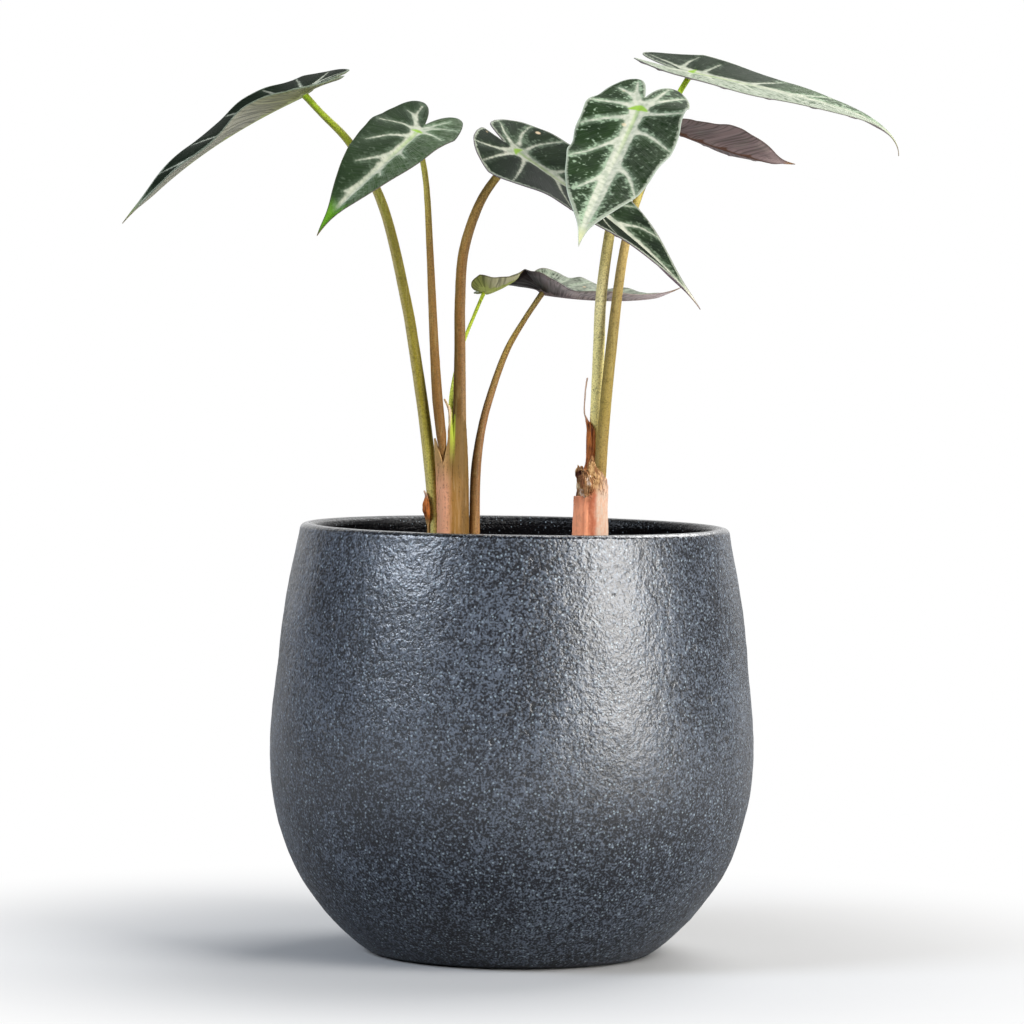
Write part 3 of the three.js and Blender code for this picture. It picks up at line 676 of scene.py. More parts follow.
class Shade:
    """The nodes of one material."""

    def __init__(self, name):
        self.material = bpy.data.materials.new(name)
        self.material.use_nodes = True
        self.nodes = self.material.node_tree.nodes
        self.links = self.material.node_tree.links
        self.surface = self.nodes["Principled BSDF"]
        self.places = self.add("ShaderNodeTexCoord").outputs["Object"]

    def add(self, kind, **settings):
        node = self.nodes.new(kind)
        for key, value in settings.items():
            setattr(node, key, value)
        return node

    def feed(self, socket, value):
        if isinstance(value, bpy.types.NodeSocket):
            self.links.new(value, socket)
        elif hasattr(socket.default_value, "__len__") and len(socket.default_value) == 4:
            socket.default_value = (*tuple(value)[:3], 1)
        else:
            socket.default_value = value

    def value(self, name):
        return self.add("ShaderNodeAttribute", attribute_name=name).outputs["Fac"]

    def vector(self, name):
        return self.add("ShaderNodeAttribute", attribute_name=name).outputs["Vector"]

    def math(self, operation, a, b=0.0, c=0.0):
        node = self.add("ShaderNodeMath", operation=operation)
        for socket, value in zip(node.inputs, (a, b, c)):
            self.feed(socket, value)
        return node.outputs[0]

    def times(self, a, b):
        return self.math("MULTIPLY", a, b)

    def plus(self, a, b):
        return self.math("ADD", a, b)

    def times_plus(self, a, b, c):
        return self.math("MULTIPLY_ADD", a, b, c)

    def axis(self, name):
        """One of the object's own coordinates, in millimetres."""
        parts = self.add("ShaderNodeSeparateXYZ")
        self.feed(parts.inputs[0], self.places)
        return self.times(parts.outputs[name], 1 / MM)

    def rise(self, value, low, high):
        """0 at low and 1 at high, with a soft rise between."""
        node = self.add("ShaderNodeMapRange", interpolation_type="SMOOTHSTEP")
        for socket, number in zip(node.inputs, (value, low, high, 0.0, 1.0)):
            self.feed(socket, number)
        return node.outputs[0]

    def mix(self, factor, a, b, share=1):
        """From a to b as the factor rises, or up to a share of the way to b."""
        node = self.add("ShaderNodeMix", data_type="RGBA")
        self.feed(node.inputs["Factor"], factor if share == 1 else self.times(factor, share))
        self.feed(node.inputs[6], a)
        self.feed(node.inputs[7], b)
        return node.outputs[2]

    def stretch(self, vector, scale):
        node = self.add("ShaderNodeMapping")
        self.feed(node.inputs["Vector"], vector)
        node.inputs["Scale"].default_value = scale
        return node.outputs[0]

    def noise(self, vector, scale, detail=2.0, roughness=0.5):
        node = self.add("ShaderNodeTexNoise")
        self.feed(node.inputs["Vector"], vector)
        node.inputs["Scale"].default_value = scale
        node.inputs["Detail"].default_value = detail
        node.inputs["Roughness"].default_value = roughness
        return node.outputs["Fac"]

    def cells(self, vector, scale):
        """Distance to the nearest of many scattered points, and a random number for each point."""
        node = self.add("ShaderNodeTexVoronoi")
        self.feed(node.inputs["Vector"], vector)
        node.inputs["Scale"].default_value = scale
        lot = self.add("ShaderNodeSeparateColor")
        self.feed(lot.inputs[0], node.outputs["Color"])
        return node.outputs["Distance"], lot.outputs[0]

    def levels(self, value, stops):
        """Colours at given heights, in millimetres."""
        low, high = stops[0][0], stops[-1][0]
        node = self.add("ShaderNodeValToRGB")
        ramp = node.color_ramp
        span = self.add("ShaderNodeMapRange")
        for socket, number in zip(span.inputs, (value, low, high, 0.0, 1.0)):
            self.feed(socket, number)
        self.feed(node.inputs[0], span.outputs[0])
        while len(ramp.elements) < len(stops):
            ramp.elements.new(0.5)
        for element, (height, shade) in zip(ramp.elements, stops):
            element.position = (height - low) / (high - low)
            element.color = (*paint(shade), 1)
        return node.outputs["Color"]

    def bump(self, height, distance, strength=1.0, under=None):
        node = self.add("ShaderNodeBump")
        node.inputs["Strength"].default_value = strength
        node.inputs["Distance"].default_value = distance * MM
        self.feed(node.inputs["Height"], height)
        if under is not None:
            self.feed(node.inputs["Normal"], under)
        return node.outputs[0]

    def finish(self, colour, roughness, normal, specular):
        self.feed(self.surface.inputs["Base Color"], colour)
        self.feed(self.surface.inputs["Roughness"], roughness)
        self.feed(self.surface.inputs["Specular IOR Level"], specular)
        self.feed(self.surface.inputs["Normal"], normal)
        return self.material


def stoneware(settings):
    """Grainy stone body, satin above and duller below, with black glaze on top of the lip; painted shade low
    down.
    """
    s = Shade("stoneware")
    grain = s.noise(s.places, 1150, 2, 0.5)
    coarse = s.noise(s.places, 420, 2, 0.6)
    patches = s.noise(s.places, 34, 2)
    height = s.axis("Z")
    low = s.rise(height, 105, 50)
    tone = s.times_plus(patches, 0.16, s.times_plus(coarse, 0.3, s.times(grain, 0.75)))
    # Painted shade: the stone is made darker towards the bottom.
    tone = s.times_plus(low, -0.02, tone)
    colour = s.mix(s.rise(tone, 0.52, 0.74), settings.stone, settings.stone_light)
    dot, chance = s.cells(s.places, 640)
    dot = s.times(s.rise(dot, 0.34, 0.16), s.rise(chance, 0.35, 0.8))
    colour = s.mix(dot, colour, settings.speck, 0.6)
    hole, chance = s.cells(s.places, 130)
    ragged = s.times_plus(coarse, 0.5, hole)
    belt = s.times(s.rise(height, 45, 75), s.rise(height, 125, 95))
    chance = s.times_plus(belt, 0.25, chance)
    pit = s.times(s.rise(ragged, 0.46, 0.34), s.rise(chance, 0.75, 0.95))
    colour = s.mix(pit, colour, settings.pit)
    wander = s.times_plus(patches, 0.8, height)
    lip = s.rise(wander, POT_HEIGHT - 1.3, POT_HEIGHT - 0.7)
    colour = s.mix(lip, colour, settings.glaze, 0.6)
    # Painted contact shadow: the lowest two millimetres of the foot turn as dark as the pits.
    colour = s.mix(s.rise(height, 1.8, 0.6), colour, settings.pit)
    rough = s.times_plus(low, 0.2, s.times_plus(grain, 0.16, 0.25))
    rough = s.times_plus(lip, -0.2, rough)
    dents = s.noise(s.places, 420, 2, 0.5)
    normal = s.bump(dents, 0.5, 0.7)
    normal = s.bump(s.math("SUBTRACT", tone, pit), 0.3, 0.8, normal)
    return s.finish(colour, rough, normal, specular=s.times_plus(s.rise(height, 30, 95), 0.7, 0.25))


def black_glaze(settings):
    """Glossy black inside of the pot, with throwing ribs and fine bubbles."""
    s = Shade("black_glaze")
    ribs = s.noise(s.stretch(s.places, (0.06, 0.06, 1)), 260, 2)
    bubbles = s.noise(s.places, 620, 3, 0.7)
    colour = s.mix(s.rise(bubbles, 0.5, 0.8), settings.glaze, settings.pit)
    dot, chance = s.cells(s.places, 800)
    dot = s.times(s.rise(dot, 0.3, 0.12), s.rise(chance, 0.55, 0.9))
    colour = s.mix(dot, colour, settings.speck, 0.5)
    normal = s.bump(ribs, 1.2, 0.7)
    normal = s.bump(bubbles, 0.7, 0.9, normal)
    return s.finish(colour, s.times_plus(bubbles, 0.2, 0.06), normal, specular=0.25)


def soil_mix(settings):
    """Damp dark peat with drier crumbs and bits of bark."""
    s = Shade("soil_mix")
    clumps = s.noise(s.places, 160, 4, 0.65)
    fine = s.noise(s.places, 900, 3, 0.6)
    colour = s.mix(s.rise(clumps, 0.42, 0.68), settings.dark, settings.light)
    colour = s.mix(s.rise(fine, 0.55, 0.8), colour, settings.bark, 0.5)
    normal = s.bump(fine, 0.5, 0.9, s.bump(clumps, 1.6, 0.8))
    return s.finish(colour, 0.94, normal, specular=0.2)


def crumb_look(name, light, dark, scale):
    s = Shade(name)
    fine = s.noise(s.stretch(s.places, (1, 1, 2.2)), scale, 4, 0.65)
    colour = s.mix(s.rise(fine, 0.32, 0.7), dark, light)
    return s.finish(colour, 0.92, s.bump(fine, 0.4, 0.9), specular=0.2)


def ray_noise(s, across, along, detail=2.0):
    """Streaks that run with the side veins: across and along are marks per millimetre."""
    return s.noise(s.stretch(s.vector("grain"), (across, along, 1)), 1, detail, 0.6)


def blade_top(leaf, settings):
    """Dark panels, pale veins, frosted flecks, a pale margin and green heart; painted sheen, light and shade.
    """
    s = Shade("leaf_top_" + leaf["name"])
    vein, margin, run, heart = (s.value(name) for name in ("vein", "margin", "run", "heart"))
    across = s.add("ShaderNodeSeparateXYZ")
    s.feed(across.inputs[0], s.vector("grain"))
    out = s.math("ABSOLUTE", across.outputs["Y"])
    fine = s.noise(s.places, 700, 1, 0.5)
    fray = s.times(s.times_plus(fine, 1.5, -0.75), s.rise(run, 0.9, 0.6))
    streak = ray_noise(s, 1.3, 0.12, 2)
    blotch = s.noise(s.places, 130, 2)
    tone = s.times_plus(s.rise(blotch, 0.3, 0.7), 0.3, leaf["green"] * 0.8)
    tone = s.times_plus(s.rise(run, 0.7, 0.9), leaf["green"], tone)
    panel = s.mix(s.math("MINIMUM", tone, 1.0), settings.dark, settings.green)
    # Painted sheen: pale streaks of painted reflection across the panels.
    panel = s.mix(s.times(s.rise(streak, 0.45, 0.75), leaf["painted_sheen"]), panel, settings.painted_sheen)
    ripe = s.rise(run, 0.45, 0.9)
    speckle = s.noise(s.places, 480, 1, 0.75)
    fleck = s.times_plus(s.rise(vein, 3.0, 0.0), 0.17, speckle)
    fleck = s.times_plus(ripe, leaf["frost"] * 0.14, fleck)
    frost = s.times(s.rise(fleck, 0.6, 0.8), leaf["frost"])
    panel = s.mix(frost, panel, settings.frost)
    haze = s.times_plus(s.plus(streak, speckle), -2.2, vein)
    panel = s.mix(s.times(s.rise(haze, 0.4, -2.6), leaf["halo"]), panel, settings.frost)
    side = s.rise(across.outputs["Y"], -0.4, 0.4)
    # Painted light: the left or right half is made paler, by its pale share.
    left, right = leaf["pale"]
    painted_light_half = s.rise(s.plus(streak, speckle), 0.65, 1.15)
    painted_light_half = s.times(s.times_plus(side, left - right, right), painted_light_half)
    panel = s.mix(painted_light_half, panel, settings.vein_shade)
    # Painted shade: the left or right half is made darker, by its dim share, fading out by the run where it
    # ends.
    left, right, end = leaf["dim"]
    dim = s.times(s.times_plus(side, left - right, right), s.rise(run, end, end - 0.25))
    panel = s.mix(dim, panel, settings.dark)
    spot, chance = s.cells(s.places, 150)
    scar = s.times(s.rise(spot, 0.2, 0.1), s.rise(chance, 0.94 - 0.1 * leaf["scars"], 0.95))
    edge_place = s.plus(margin, fray)
    width = s.times_plus(ripe, leaf["band"] * 0.8, leaf["band"])
    inside = s.math("SUBTRACT", edge_place, width)
    band = s.times(s.rise(inside, 0.45, -0.45), min(leaf["band"], 0.75))
    panel = s.mix(band, panel, settings.vein_shade)
    end = leaf["tip_from"]
    pale = s.times(s.rise(s.times_plus(fray, 0.6, vein), 0.5, -0.5), s.rise(run, end + 0.09, end))
    veins = s.mix(s.rise(s.noise(s.places, 420, 3), 0.35, 0.7), settings.vein, settings.vein_shade)
    colour = s.mix(s.times(pale, leaf["bright"]), panel, veins)
    line = s.times(s.rise(out, 1.3, 0.2), s.rise(run, 0.42, 0.08))
    line = s.times(line, s.rise(run, -0.01, 0.01))
    colour = s.mix(line, colour, settings.heart, 0.35)
    colour = s.mix(s.rise(heart, 0.7, -0.4), colour, settings.heart, 0.9)
    colour = s.mix(s.times(scar, min(leaf["scars"] * 3, 1)), colour, settings.scar)
    colour = s.mix(s.rise(run, end, end + 0.11), colour, paint(leaf["tip"]))
    colour = s.mix(s.rise(run, 0.97, 0.998), colour, settings.tip_end, 0.6)
    colour = s.mix(s.rise(margin, 0.42, 0.12), colour, paint(leaf["edge"]), 0.75)
    rough = s.times_plus(pale, 0.1, s.times_plus(streak, 0.2, 0.3))
    normal = s.bump(s.times(streak, s.math("SUBTRACT", 1, pale)), 0.25, 0.7)
    return s.finish(colour, rough, normal, specular=0.06 * leaf["painted_sheen"])


def blade_under(leaf, settings):
    """Underside with raised, fine, parallel veins."""
    s = Shade("leaf_under_" + leaf["name"])
    vein, margin, run = (s.value(name) for name in ("vein", "margin", "run"))
    streak = ray_noise(s, 0.8, 0.05, 1)
    blotch = s.noise(s.places, 160, 3)
    calm = s.rise(run, 0.55, 0.85)
    # From the underside near the stem to further out; on blade 8 the near-black start is painted shade.
    colour = s.mix(s.rise(run, 0, 0.3), paint(leaf["under"]), paint(leaf["under_end"]))
    lines = s.times(s.rise(streak, 0.56, 0.36), s.math("SUBTRACT", 1, calm))
    colour = s.mix(lines, colour, settings.dark, 0.5)
    colour = s.mix(s.rise(blotch, 0.45, 0.7), colour, settings.frost, 0.06)
    rib = leaf["midrib"]
    colour = s.mix(s.rise(vein, -0.35 * rib, -0.75 * rib), colour, paint(leaf["under_vein"]))
    colour = s.mix(s.rise(run, 0.88, 0.97), colour, settings.tip_end)
    colour = s.mix(s.rise(margin, 0.5, 0.15), colour, paint(leaf["edge"]), 0.7)
    rib_relief = s.times(streak, s.math("SUBTRACT", 1, calm))
    return s.finish(colour, 0.5, s.bump(rib_relief, 0.4, 0.8), specular=0.1)


def stem_skin(name, settings):
    """Stem colour up its height, with painted light and shade on either side, dark flecks and lengthwise
    lines.
    """
    s = Shade("stem_skin_" + name)
    # Colour up the height; on stems 4, 5 and 7 parts of it are painted light.
    colour = s.levels(s.axis("Z"), STEM_COLOURS[name])
    facing = s.value("facing")
    # Painted light and shade: the side facing left and the side facing right take their own colours.
    if name in STEM_SIDE_LIGHT_AND_SHADE:
        left, right = STEM_SIDE_LIGHT_AND_SHADE[name]
        colour = s.mix(s.rise(facing, -0.1, -0.8), colour, paint(left), 0.6)
        colour = s.mix(s.rise(facing, 0.1, 0.7), colour, paint(right), 0.6)
    lines = s.noise(s.stretch(s.places, (1, 1, 0.06)), 1500, 3, 0.6)
    mottle = s.noise(s.stretch(s.places, (0.8, 0.8, 1.6)), 1100, 3, 0.7)
    grain = s.noise(s.places, 1700, 2, 0.6)
    cloud = s.noise(s.places, 260, 3, 0.6)
    fleck = s.times_plus(s.rise(cloud, 0.35, 0.7), 0.14, mottle)
    colour = s.mix(s.rise(fleck, 0.55, 0.8), colour, settings.fleck, 0.45)
    colour = s.mix(s.rise(grain, 0.44, 0.66), colour, settings.fleck, 0.4)
    light = s.times(s.rise(lines, 0.5, 0.75), 0.2)
    colour = s.mix(light, colour, paint("#d2c583"))
    return s.finish(colour, 0.5, s.bump(lines, 0.15, 0.6), specular=0.15)


def sheath_skin(settings):
    """Fibrous skin, pink on the left and brown on the right, darker towards the stem, with a bleached tip."""
    s = Shade("left_sheath")
    fibres = s.noise(s.stretch(s.places, (1, 1, 0.06)), 1200, 4, 0.7)
    mottle = s.noise(s.stretch(s.places, (1, 1, 0.8)), 1000, 4, 0.75)
    drift = s.noise(s.stretch(s.places, (1, 1, 0.3)), 260, 3)
    side = s.times_plus(drift, 5, s.plus(s.axis("X"), -2.5))
    pink = s.mix(s.rise(s.axis("Z"), 180, 196), settings.pink, paint("#b08a55"))
    # Partly painted shade: the olive-tan middle and brown right side are darker than the sheath's own colour.
    colour = s.mix(s.rise(side, -27.6, -23.6), pink, paint("#93692f"))
    colour = s.mix(s.rise(side, -23, -19.5), colour, paint("#755627"))
    colour = s.mix(s.rise(fibres, 0.5, 0.75), colour, settings.margin, 0.3)
    upper = s.times(s.rise(s.axis("Z"), 176, 194), s.rise(s.axis("X"), -29, -25.5))
    colour = s.mix(upper, colour, paint("#6e5427"), 0.85)
    young = s.times(s.rise(s.axis("X"), -26.2, -25.6), s.rise(s.axis("X"), -23.6, -24.4))
    young = s.times(young, s.rise(s.axis("Z"), 190, 206))
    colour = s.mix(young, colour, paint("#a3b02e"))
    bleached = s.times(s.rise(s.axis("Z"), 204, 211), s.rise(s.axis("X"), -25.2, -25.9))
    colour = s.mix(bleached, colour, settings.margin)
    dark = s.times(s.rise(s.plus(fibres, mottle), 0.97, 0.72), 0.6)
    colour = s.mix(dark, colour, settings.fleck)
    return s.finish(colour, 0.55, s.bump(fibres, 0.25, 0.8), specular=0.2)


def sleeve_skin(settings):
    """Coral to cream from left to right, tan and creased towards its torn point."""
    s = Shade("right_sleeve")
    fibres = s.noise(s.stretch(s.places, (1, 1, 0.06)), 1100, 4, 0.7)
    mottle = s.noise(s.stretch(s.places, (1, 1, 0.6)), 800, 3, 0.7)
    patch = s.noise(s.places, 230, 3, 0.6)
    side = s.times_plus(patch, 3, s.plus(s.axis("X"), -1.5))
    streak = s.noise(s.stretch(s.places, (1, 1, 0.05)), 420, 2)
    # Partly painted light: the coral side is lighter than its own colour, for light on the left side.
    coral = s.mix(s.rise(streak, 0.5, 0.68), settings.coral, settings.coral_dark, 0.8)
    colour = s.mix(s.rise(side, 28, 29.6), coral, paint("#9c4f33"), 0.8)
    colour = s.mix(s.rise(s.axis("Z"), 173, 181), colour, paint("#9c4f33"), 0.55)
    colour = s.mix(s.rise(side, 30.6, 32.4), colour, settings.cream)
    colour = s.mix(s.rise(mottle, 0.46, 0.62), colour, paint("#d08a68"), 0.4)
    height = s.times_plus(patch, 8, s.plus(s.axis("Z"), -4))
    tan = s.mix(s.rise(mottle, 0.4, 0.6), paint("#8a6238"), paint("#c29a68"))
    colour = s.mix(s.times(s.rise(height, 178, 186), s.rise(s.axis("X"), 36.5, 32)), colour, tan)
    crease = s.noise(s.stretch(s.places, (1, 1, 0.6)), 300, 3, 0.6)
    line = s.rise(s.math("ABSOLUTE", s.math("SUBTRACT", crease, 0.5)), 0.035, 0.01)
    line = s.times(line, s.rise(s.axis("Z"), 176, 183))
    colour = s.mix(line, colour, paint("#6f4527"), 0.6)
    colour = s.mix(s.rise(fibres, 0.45, 0.3), colour, settings.coral_dark, 0.5)
    normal = s.bump(s.plus(fibres, s.times(line, -1)), 0.35, 0.8)
    return s.finish(colour, 0.55, normal, specular=0.2)


def torn_tissue(name, dark, pale):
    """Creased tissue in patches of tan, brown and cream."""
    s = Shade(name)
    fibres = s.noise(s.stretch(s.places, (1, 1, 0.35)), 700, 4, 0.7)
    patch = s.noise(s.stretch(s.places, (1, 1, 0.7)), 330, 3, 0.6)
    colour = s.mix(s.rise(patch, 0.38, 0.6), dark, paint("#a67b4f"))
    colour = s.mix(s.rise(patch, 0.56, 0.7), colour, pale)
    colour = s.mix(s.rise(fibres, 0.5, 0.3), colour, dark, 0.7)
    return s.finish(colour, 0.65, s.bump(s.plus(fibres, patch), 0.5, 0.9), specular=0.25)


def dry_paper(name, settings, pale_above, tan_below=0):
    """Brown papery tissue, darker at its folds, bleached above one height and tan below another."""
    s = Shade(name)
    fibres = s.noise(s.stretch(s.places, (1, 1, 0.12)), 1100, 4, 0.7)
    folds = s.noise(s.places, 260, 3)
    colour = s.mix(s.rise(fibres, 0.3, 0.65), settings.dark, settings.brown)
    colour = s.mix(s.rise(folds, 0.5, 0.7), colour, settings.dark, 0.5)
    colour = s.mix(s.rise(s.axis("Z"), pale_above, pale_above + 4), colour, settings.pale)
    if tan_below:
        colour = s.mix(s.rise(s.axis("Z"), tan_below, tan_below - 3), colour, paint("#b18a55"))
    return s.finish(colour, 0.7, s.bump(fibres, 0.35, 0.9), specular=0.3)


# Pot and soil


def square(part):
    """A sine or cosine pushed outwards, which flattens a round edge."""
    return math.copysign(abs(part) ** 0.75, part)


def pot_rings():
    """Radius and height from the middle of the foot, up the outside, over the lip and down inside."""
    belly = through([[POT_FOOT_R, 0.01], *POT_BELLY], 4)
    neck, shoulder = POT_BELLY[-1]
    turns = np.radians(np.linspace(0, 180, 11))[1:]
    rise = POT_HEIGHT - shoulder
    lip = [(neck - LIP_R + LIP_R * square(math.cos(a)), shoulder + rise * square(math.sin(a))) for a in turns]
    wall = through([[r - POT_WALL, z] for r, z in POT_BELLY if z > POT_FLOOR + 5], 4)[::-1][1:]
    return [(12, 0), (36, 0), (POT_FOOT_R - 2, 0), *belly, *lip, *wall, (60, POT_FLOOR), (30, POT_FLOOR)]


class ALOCASIA_OT_pot(bpy.types.Operator):
    """Turns the stoneware pot from its outline, with its lip and black inside"""

    bl_idname = "alocasia.pot"
    bl_label = "Pot"

    def execute(self, context):
        settings = context.scene.alocasia_pot
        pot = grow_rings("stoneware_pot", pot_rings(), 72)
        apply_modifier(pot, "SUBSURF", levels=2, render_levels=2)
        places = places_of(pot)
        height = places[:, 2] / MM
        free = smoothly(height, 2, 12) * (1 - smoothly(height, POT_HEIGHT - 8, POT_HEIGHT - 3))
        weigh(pot, "wall", free)
        raise_surface(pot, clouds("lumps", 26), settings.lumps, "wall")
        raise_surface(pot, clouds("dents", 5, 3), settings.dents, "wall")
        pot.vertex_groups.clear()
        outside = np.array(POT_BELLY)
        for face in pot.data.polygons:
            x, y, z = face.center
            wall = np.interp(z / MM, outside[:, 1], outside[:, 0]) - LIP_R
            face.material_index = int(math.hypot(x, y) / MM < wall and z / MM > POT_FLOOR / 2)
        dress(pot, ["pot"], "pot", stoneware(settings), black_glaze(settings), angle=60)
        return {"FINISHED"}


def soil_rings():
    """The soil's body, from its floor up the pot's wall and in over the crowned top."""
    wall = [[r - POT_WALL - SOIL_GAP, z] for r, z in POT_BELLY if z > POT_FLOOR + 5]
    side = [p for p in through(wall, 3) if p[1] < SOIL_TOP - 6]
    rim = SOIL_TOP - SOIL_CROWN
    edge = np.interp(rim, [z for _, z in wall], [r for r, _ in wall])
    crown = [(edge * t, SOIL_TOP - SOIL_CROWN * t * t) for t in np.linspace(1, 0.04, 40)]
    return [(20, POT_FLOOR + SOIL_GAP), (52, POT_FLOOR + SOIL_GAP), *side, *crown]


class ALOCASIA_OT_soil(bpy.types.Operator):
    """Fills the pot with crumbly soil, with bark chips and white grains on top"""

    bl_idname = "alocasia.soil"
    bl_label = "Soil"

    def execute(self, context):
        settings = context.scene.alocasia_soil
        soil = grow_rings("potting_soil", soil_rings(), 120)
        apply_modifier(soil, "SUBSURF", levels=1, render_levels=1)
        top = smoothly(places_of(soil)[:, 2] / MM, SOIL_TOP - 8, SOIL_TOP - 2.5)
        weigh(soil, "top", top)
        raise_surface(soil, clouds("clods", 7, 2), settings.relief, "top")
        raise_surface(soil, clouds("grit", 1.8, 2), settings.relief * 0.45, "top")
        soil.vertex_groups.clear()
        soil.data.materials.append(soil_mix(settings))
        soil.data.materials.append(crumb_look("bark_chip", settings.bark, settings.dark, 700))
        soil.data.materials.append(crumb_look("perlite_grain", settings.perlite, settings.light, 900))
        crumbs = self.scatter(settings)
        select_only(*crumbs, soil)
        bpy.ops.object.join()
        dress(soil, ["soil"], "soil", angle=50)
        return {"FINISHED"}

    def scatter(self, settings):
        """Copies one rough lump as bark chips and round grains over the surface."""
        bpy.ops.object.select_all(action="DESELECT")
        bpy.ops.mesh.primitive_ico_sphere_add(subdivisions=2, radius=MM)
        lump = bpy.context.active_object
        raise_surface(lump, clouds("lump", 0.9, 1), 0.7 * MM)
        draw = np.random.default_rng(7)
        crumbs = []
        for _ in range(settings.crumbs):
            radius = CRUMB_SPREAD * math.sqrt(draw.uniform())
            angle = draw.uniform(0, 2 * math.pi)
            white = draw.uniform() < WHITE_SHARE
            wide = draw.uniform(0.7, 1.5) if white else draw.uniform(1.1, 3.6)
            depth, rise = (draw.uniform(0.75, 1), 0.8) if white else (0.6, 0.35)
            shape = (wide, wide * depth, wide * rise)
            turn = Matrix.Rotation(draw.uniform(0, 6.3), 4, "Z")
            turn = turn @ Matrix.Rotation(draw.uniform(-0.5, 0.5), 4, "X")
            height = SOIL_TOP - SOIL_CROWN * (radius / 80) ** 2 + wide * 0.1
            place = Vector((radius * math.cos(angle), radius * math.sin(angle), height))
            spot = Matrix.Translation(place * MM)
            crumb = lump.copy()
            crumb.data = lump.data.copy()
            crumb.data.transform(spot @ turn @ Matrix.Diagonal((*shape, 1)))
            crumb.data.materials.clear()
            for name in ("soil_mix", "bark_chip", "perlite_grain"):
                crumb.data.materials.append(bpy.data.materials[name])
            slot = 2 if white else 1
            crumb.data.polygons.foreach_set("material_index", [slot] * len(crumb.data.polygons))
            bpy.context.collection.objects.link(crumb)
            crumbs.append(crumb)
        bpy.data.objects.remove(lump)
        return crumbs


# Blades


def blade_frame(leaf):
    """Directions along, left of and up from a blade at its stem."""
    pitch, heading, roll = (math.radians(leaf[key]) for key in ("pitch", "heading", "roll"))
    along = np.array([
        math.cos(pitch) * math.cos(heading), math.cos(pitch) * math.sin(heading), math.sin(pitch),
    ])
    up = np.array([0, 0, 1]) - along * along[2]
    up = up / np.linalg.norm(up)
    up = up * math.cos(roll) + np.cross(along, up) * math.sin(roll)
    return along, np.cross(up, along), up


def behind(t):
    """How far back in the lobes, which starts softly at the stem."""
    return (np.sqrt(t * t + 0.0009) - t) / 2


def midrib_turn(leaf, t):
    """The midrib's direction in the blade's own frame, and the level direction across it."""
    ahead = np.maximum(t, 0)
    bend = leaf["lobe_bend"] * behind(t) / LOBE_REACH
    down = np.radians(bend + leaf["droop"] * ahead ** 1.3 + leaf["hook"] * ahead ** 8)
    side = np.radians(leaf["sway"] * ahead)
    along = np.stack([np.cos(down) * np.cos(side), np.cos(down) * np.sin(side), -np.sin(down)], -1)
    return along, np.stack([-np.sin(side), np.cos(side), 0 * side], -1)


def midrib_at(leaf, t):
    """Places along the midrib, from a fine table of its direction."""
    table = np.linspace(-0.4, 1, 561)
    step = table[1] - table[0]
    along, _ = midrib_turn(leaf, table[:-1] + step / 2)
    line = np.vstack([np.zeros(3), np.cumsum(along, 0) * step * leaf["length"]])
    line -= [np.interp(0, table, line[:, k]) for k in range(3)]
    return np.stack([np.interp(t, table, line[:, k]) for k in range(3)], -1)


def blade_places(leaf, t, w, side):
    """Places on the upper face, t lengths along and w half-widths out on side +1 (left) or -1."""
    def pick(key):
        return np.where(side > 0, *leaf[key])

    ahead = np.maximum(t, 0)
    along, across = midrib_turn(leaf, t)
    normal = np.cross(along, across)
    twist = np.radians(leaf["twist"] * ahead)[..., None]
    cos, sin = np.cos(twist), np.sin(twist)
    across, normal = across * cos + normal * sin, normal * cos - across * sin
    settled = 1 - np.exp(-FOLD_SETTLE * ahead)
    fold = np.radians(pick("fold") + pick("unfold") * settled + pick("lobe") * behind(t) / LOBE_REACH)
    crimp = leaf["crimp"] * np.sin(2 * math.pi * CRIMPS * t + side + leaf["at"][0]) * w ** 4
    out = w * leaf["half"] + crimp * CRIMP_OUT
    ripple = leaf["wave"] * w * w * np.sin(2 * math.pi * leaf["waves"] * t + np.radians(pick("phase")))
    ripple = ripple + CRIMP_UP * crimp
    local = midrib_at(leaf, t)
    local = local + across * (side * out * np.cos(fold))[..., None]
    local = local + normal * (out * np.sin(fold) + ripple)[..., None]
    return np.array(leaf["at"]) + local @ np.stack(blade_frame(leaf))


def half_outline(leaf):
    """One half of this blade's outline, with its own lobes."""
    table = [[t * leaf["lobes"] if t < 0 else t, w] for t, w in HALF_OUTLINE]
    lobe = OWN_LOBES.get(leaf["name"], [])
    return lobe + table[len(lobe):]


def outline_rows(leaf):
    """The half outline at even steps along the margin: ahead, out and the distance run."""
    fine = through(half_outline(leaf), 12)
    flat = fine * (leaf["length"], leaf["half"])
    run = np.concatenate([[0], np.cumsum(np.linalg.norm(np.diff(flat, axis=0), axis=1))])
    steps = np.linspace(0, run[-1], leaf["rows"] + 1)
    return np.interp(steps, run, fine[:, 0]), np.interp(steps, run, fine[:, 1]), steps


def distance_to(line, x, y, *widths):
    """Distance to a line, less the line's own half-width, which passes through the widths along it."""
    best = np.full(x.shape, 1e3)
    widths = widths or (0,)
    widths = np.interp(np.linspace(0, 1, len(line)), np.linspace(0, 1, len(widths)), widths)
    for (x0, y0), (x1, y1), w0, w1 in zip(line, line[1:], widths, widths[1:]):
        dx, dy = x1 - x0, y1 - y0
        s = np.clip(((x - x0) * dx + (y - y0) * dy) / (dx * dx + dy * dy), 0, 1)
        best = np.minimum(best, np.hypot(x - x0 - s * dx, y - y0 - s * dy) - (w0 + s * (w1 - w0)))
    return best


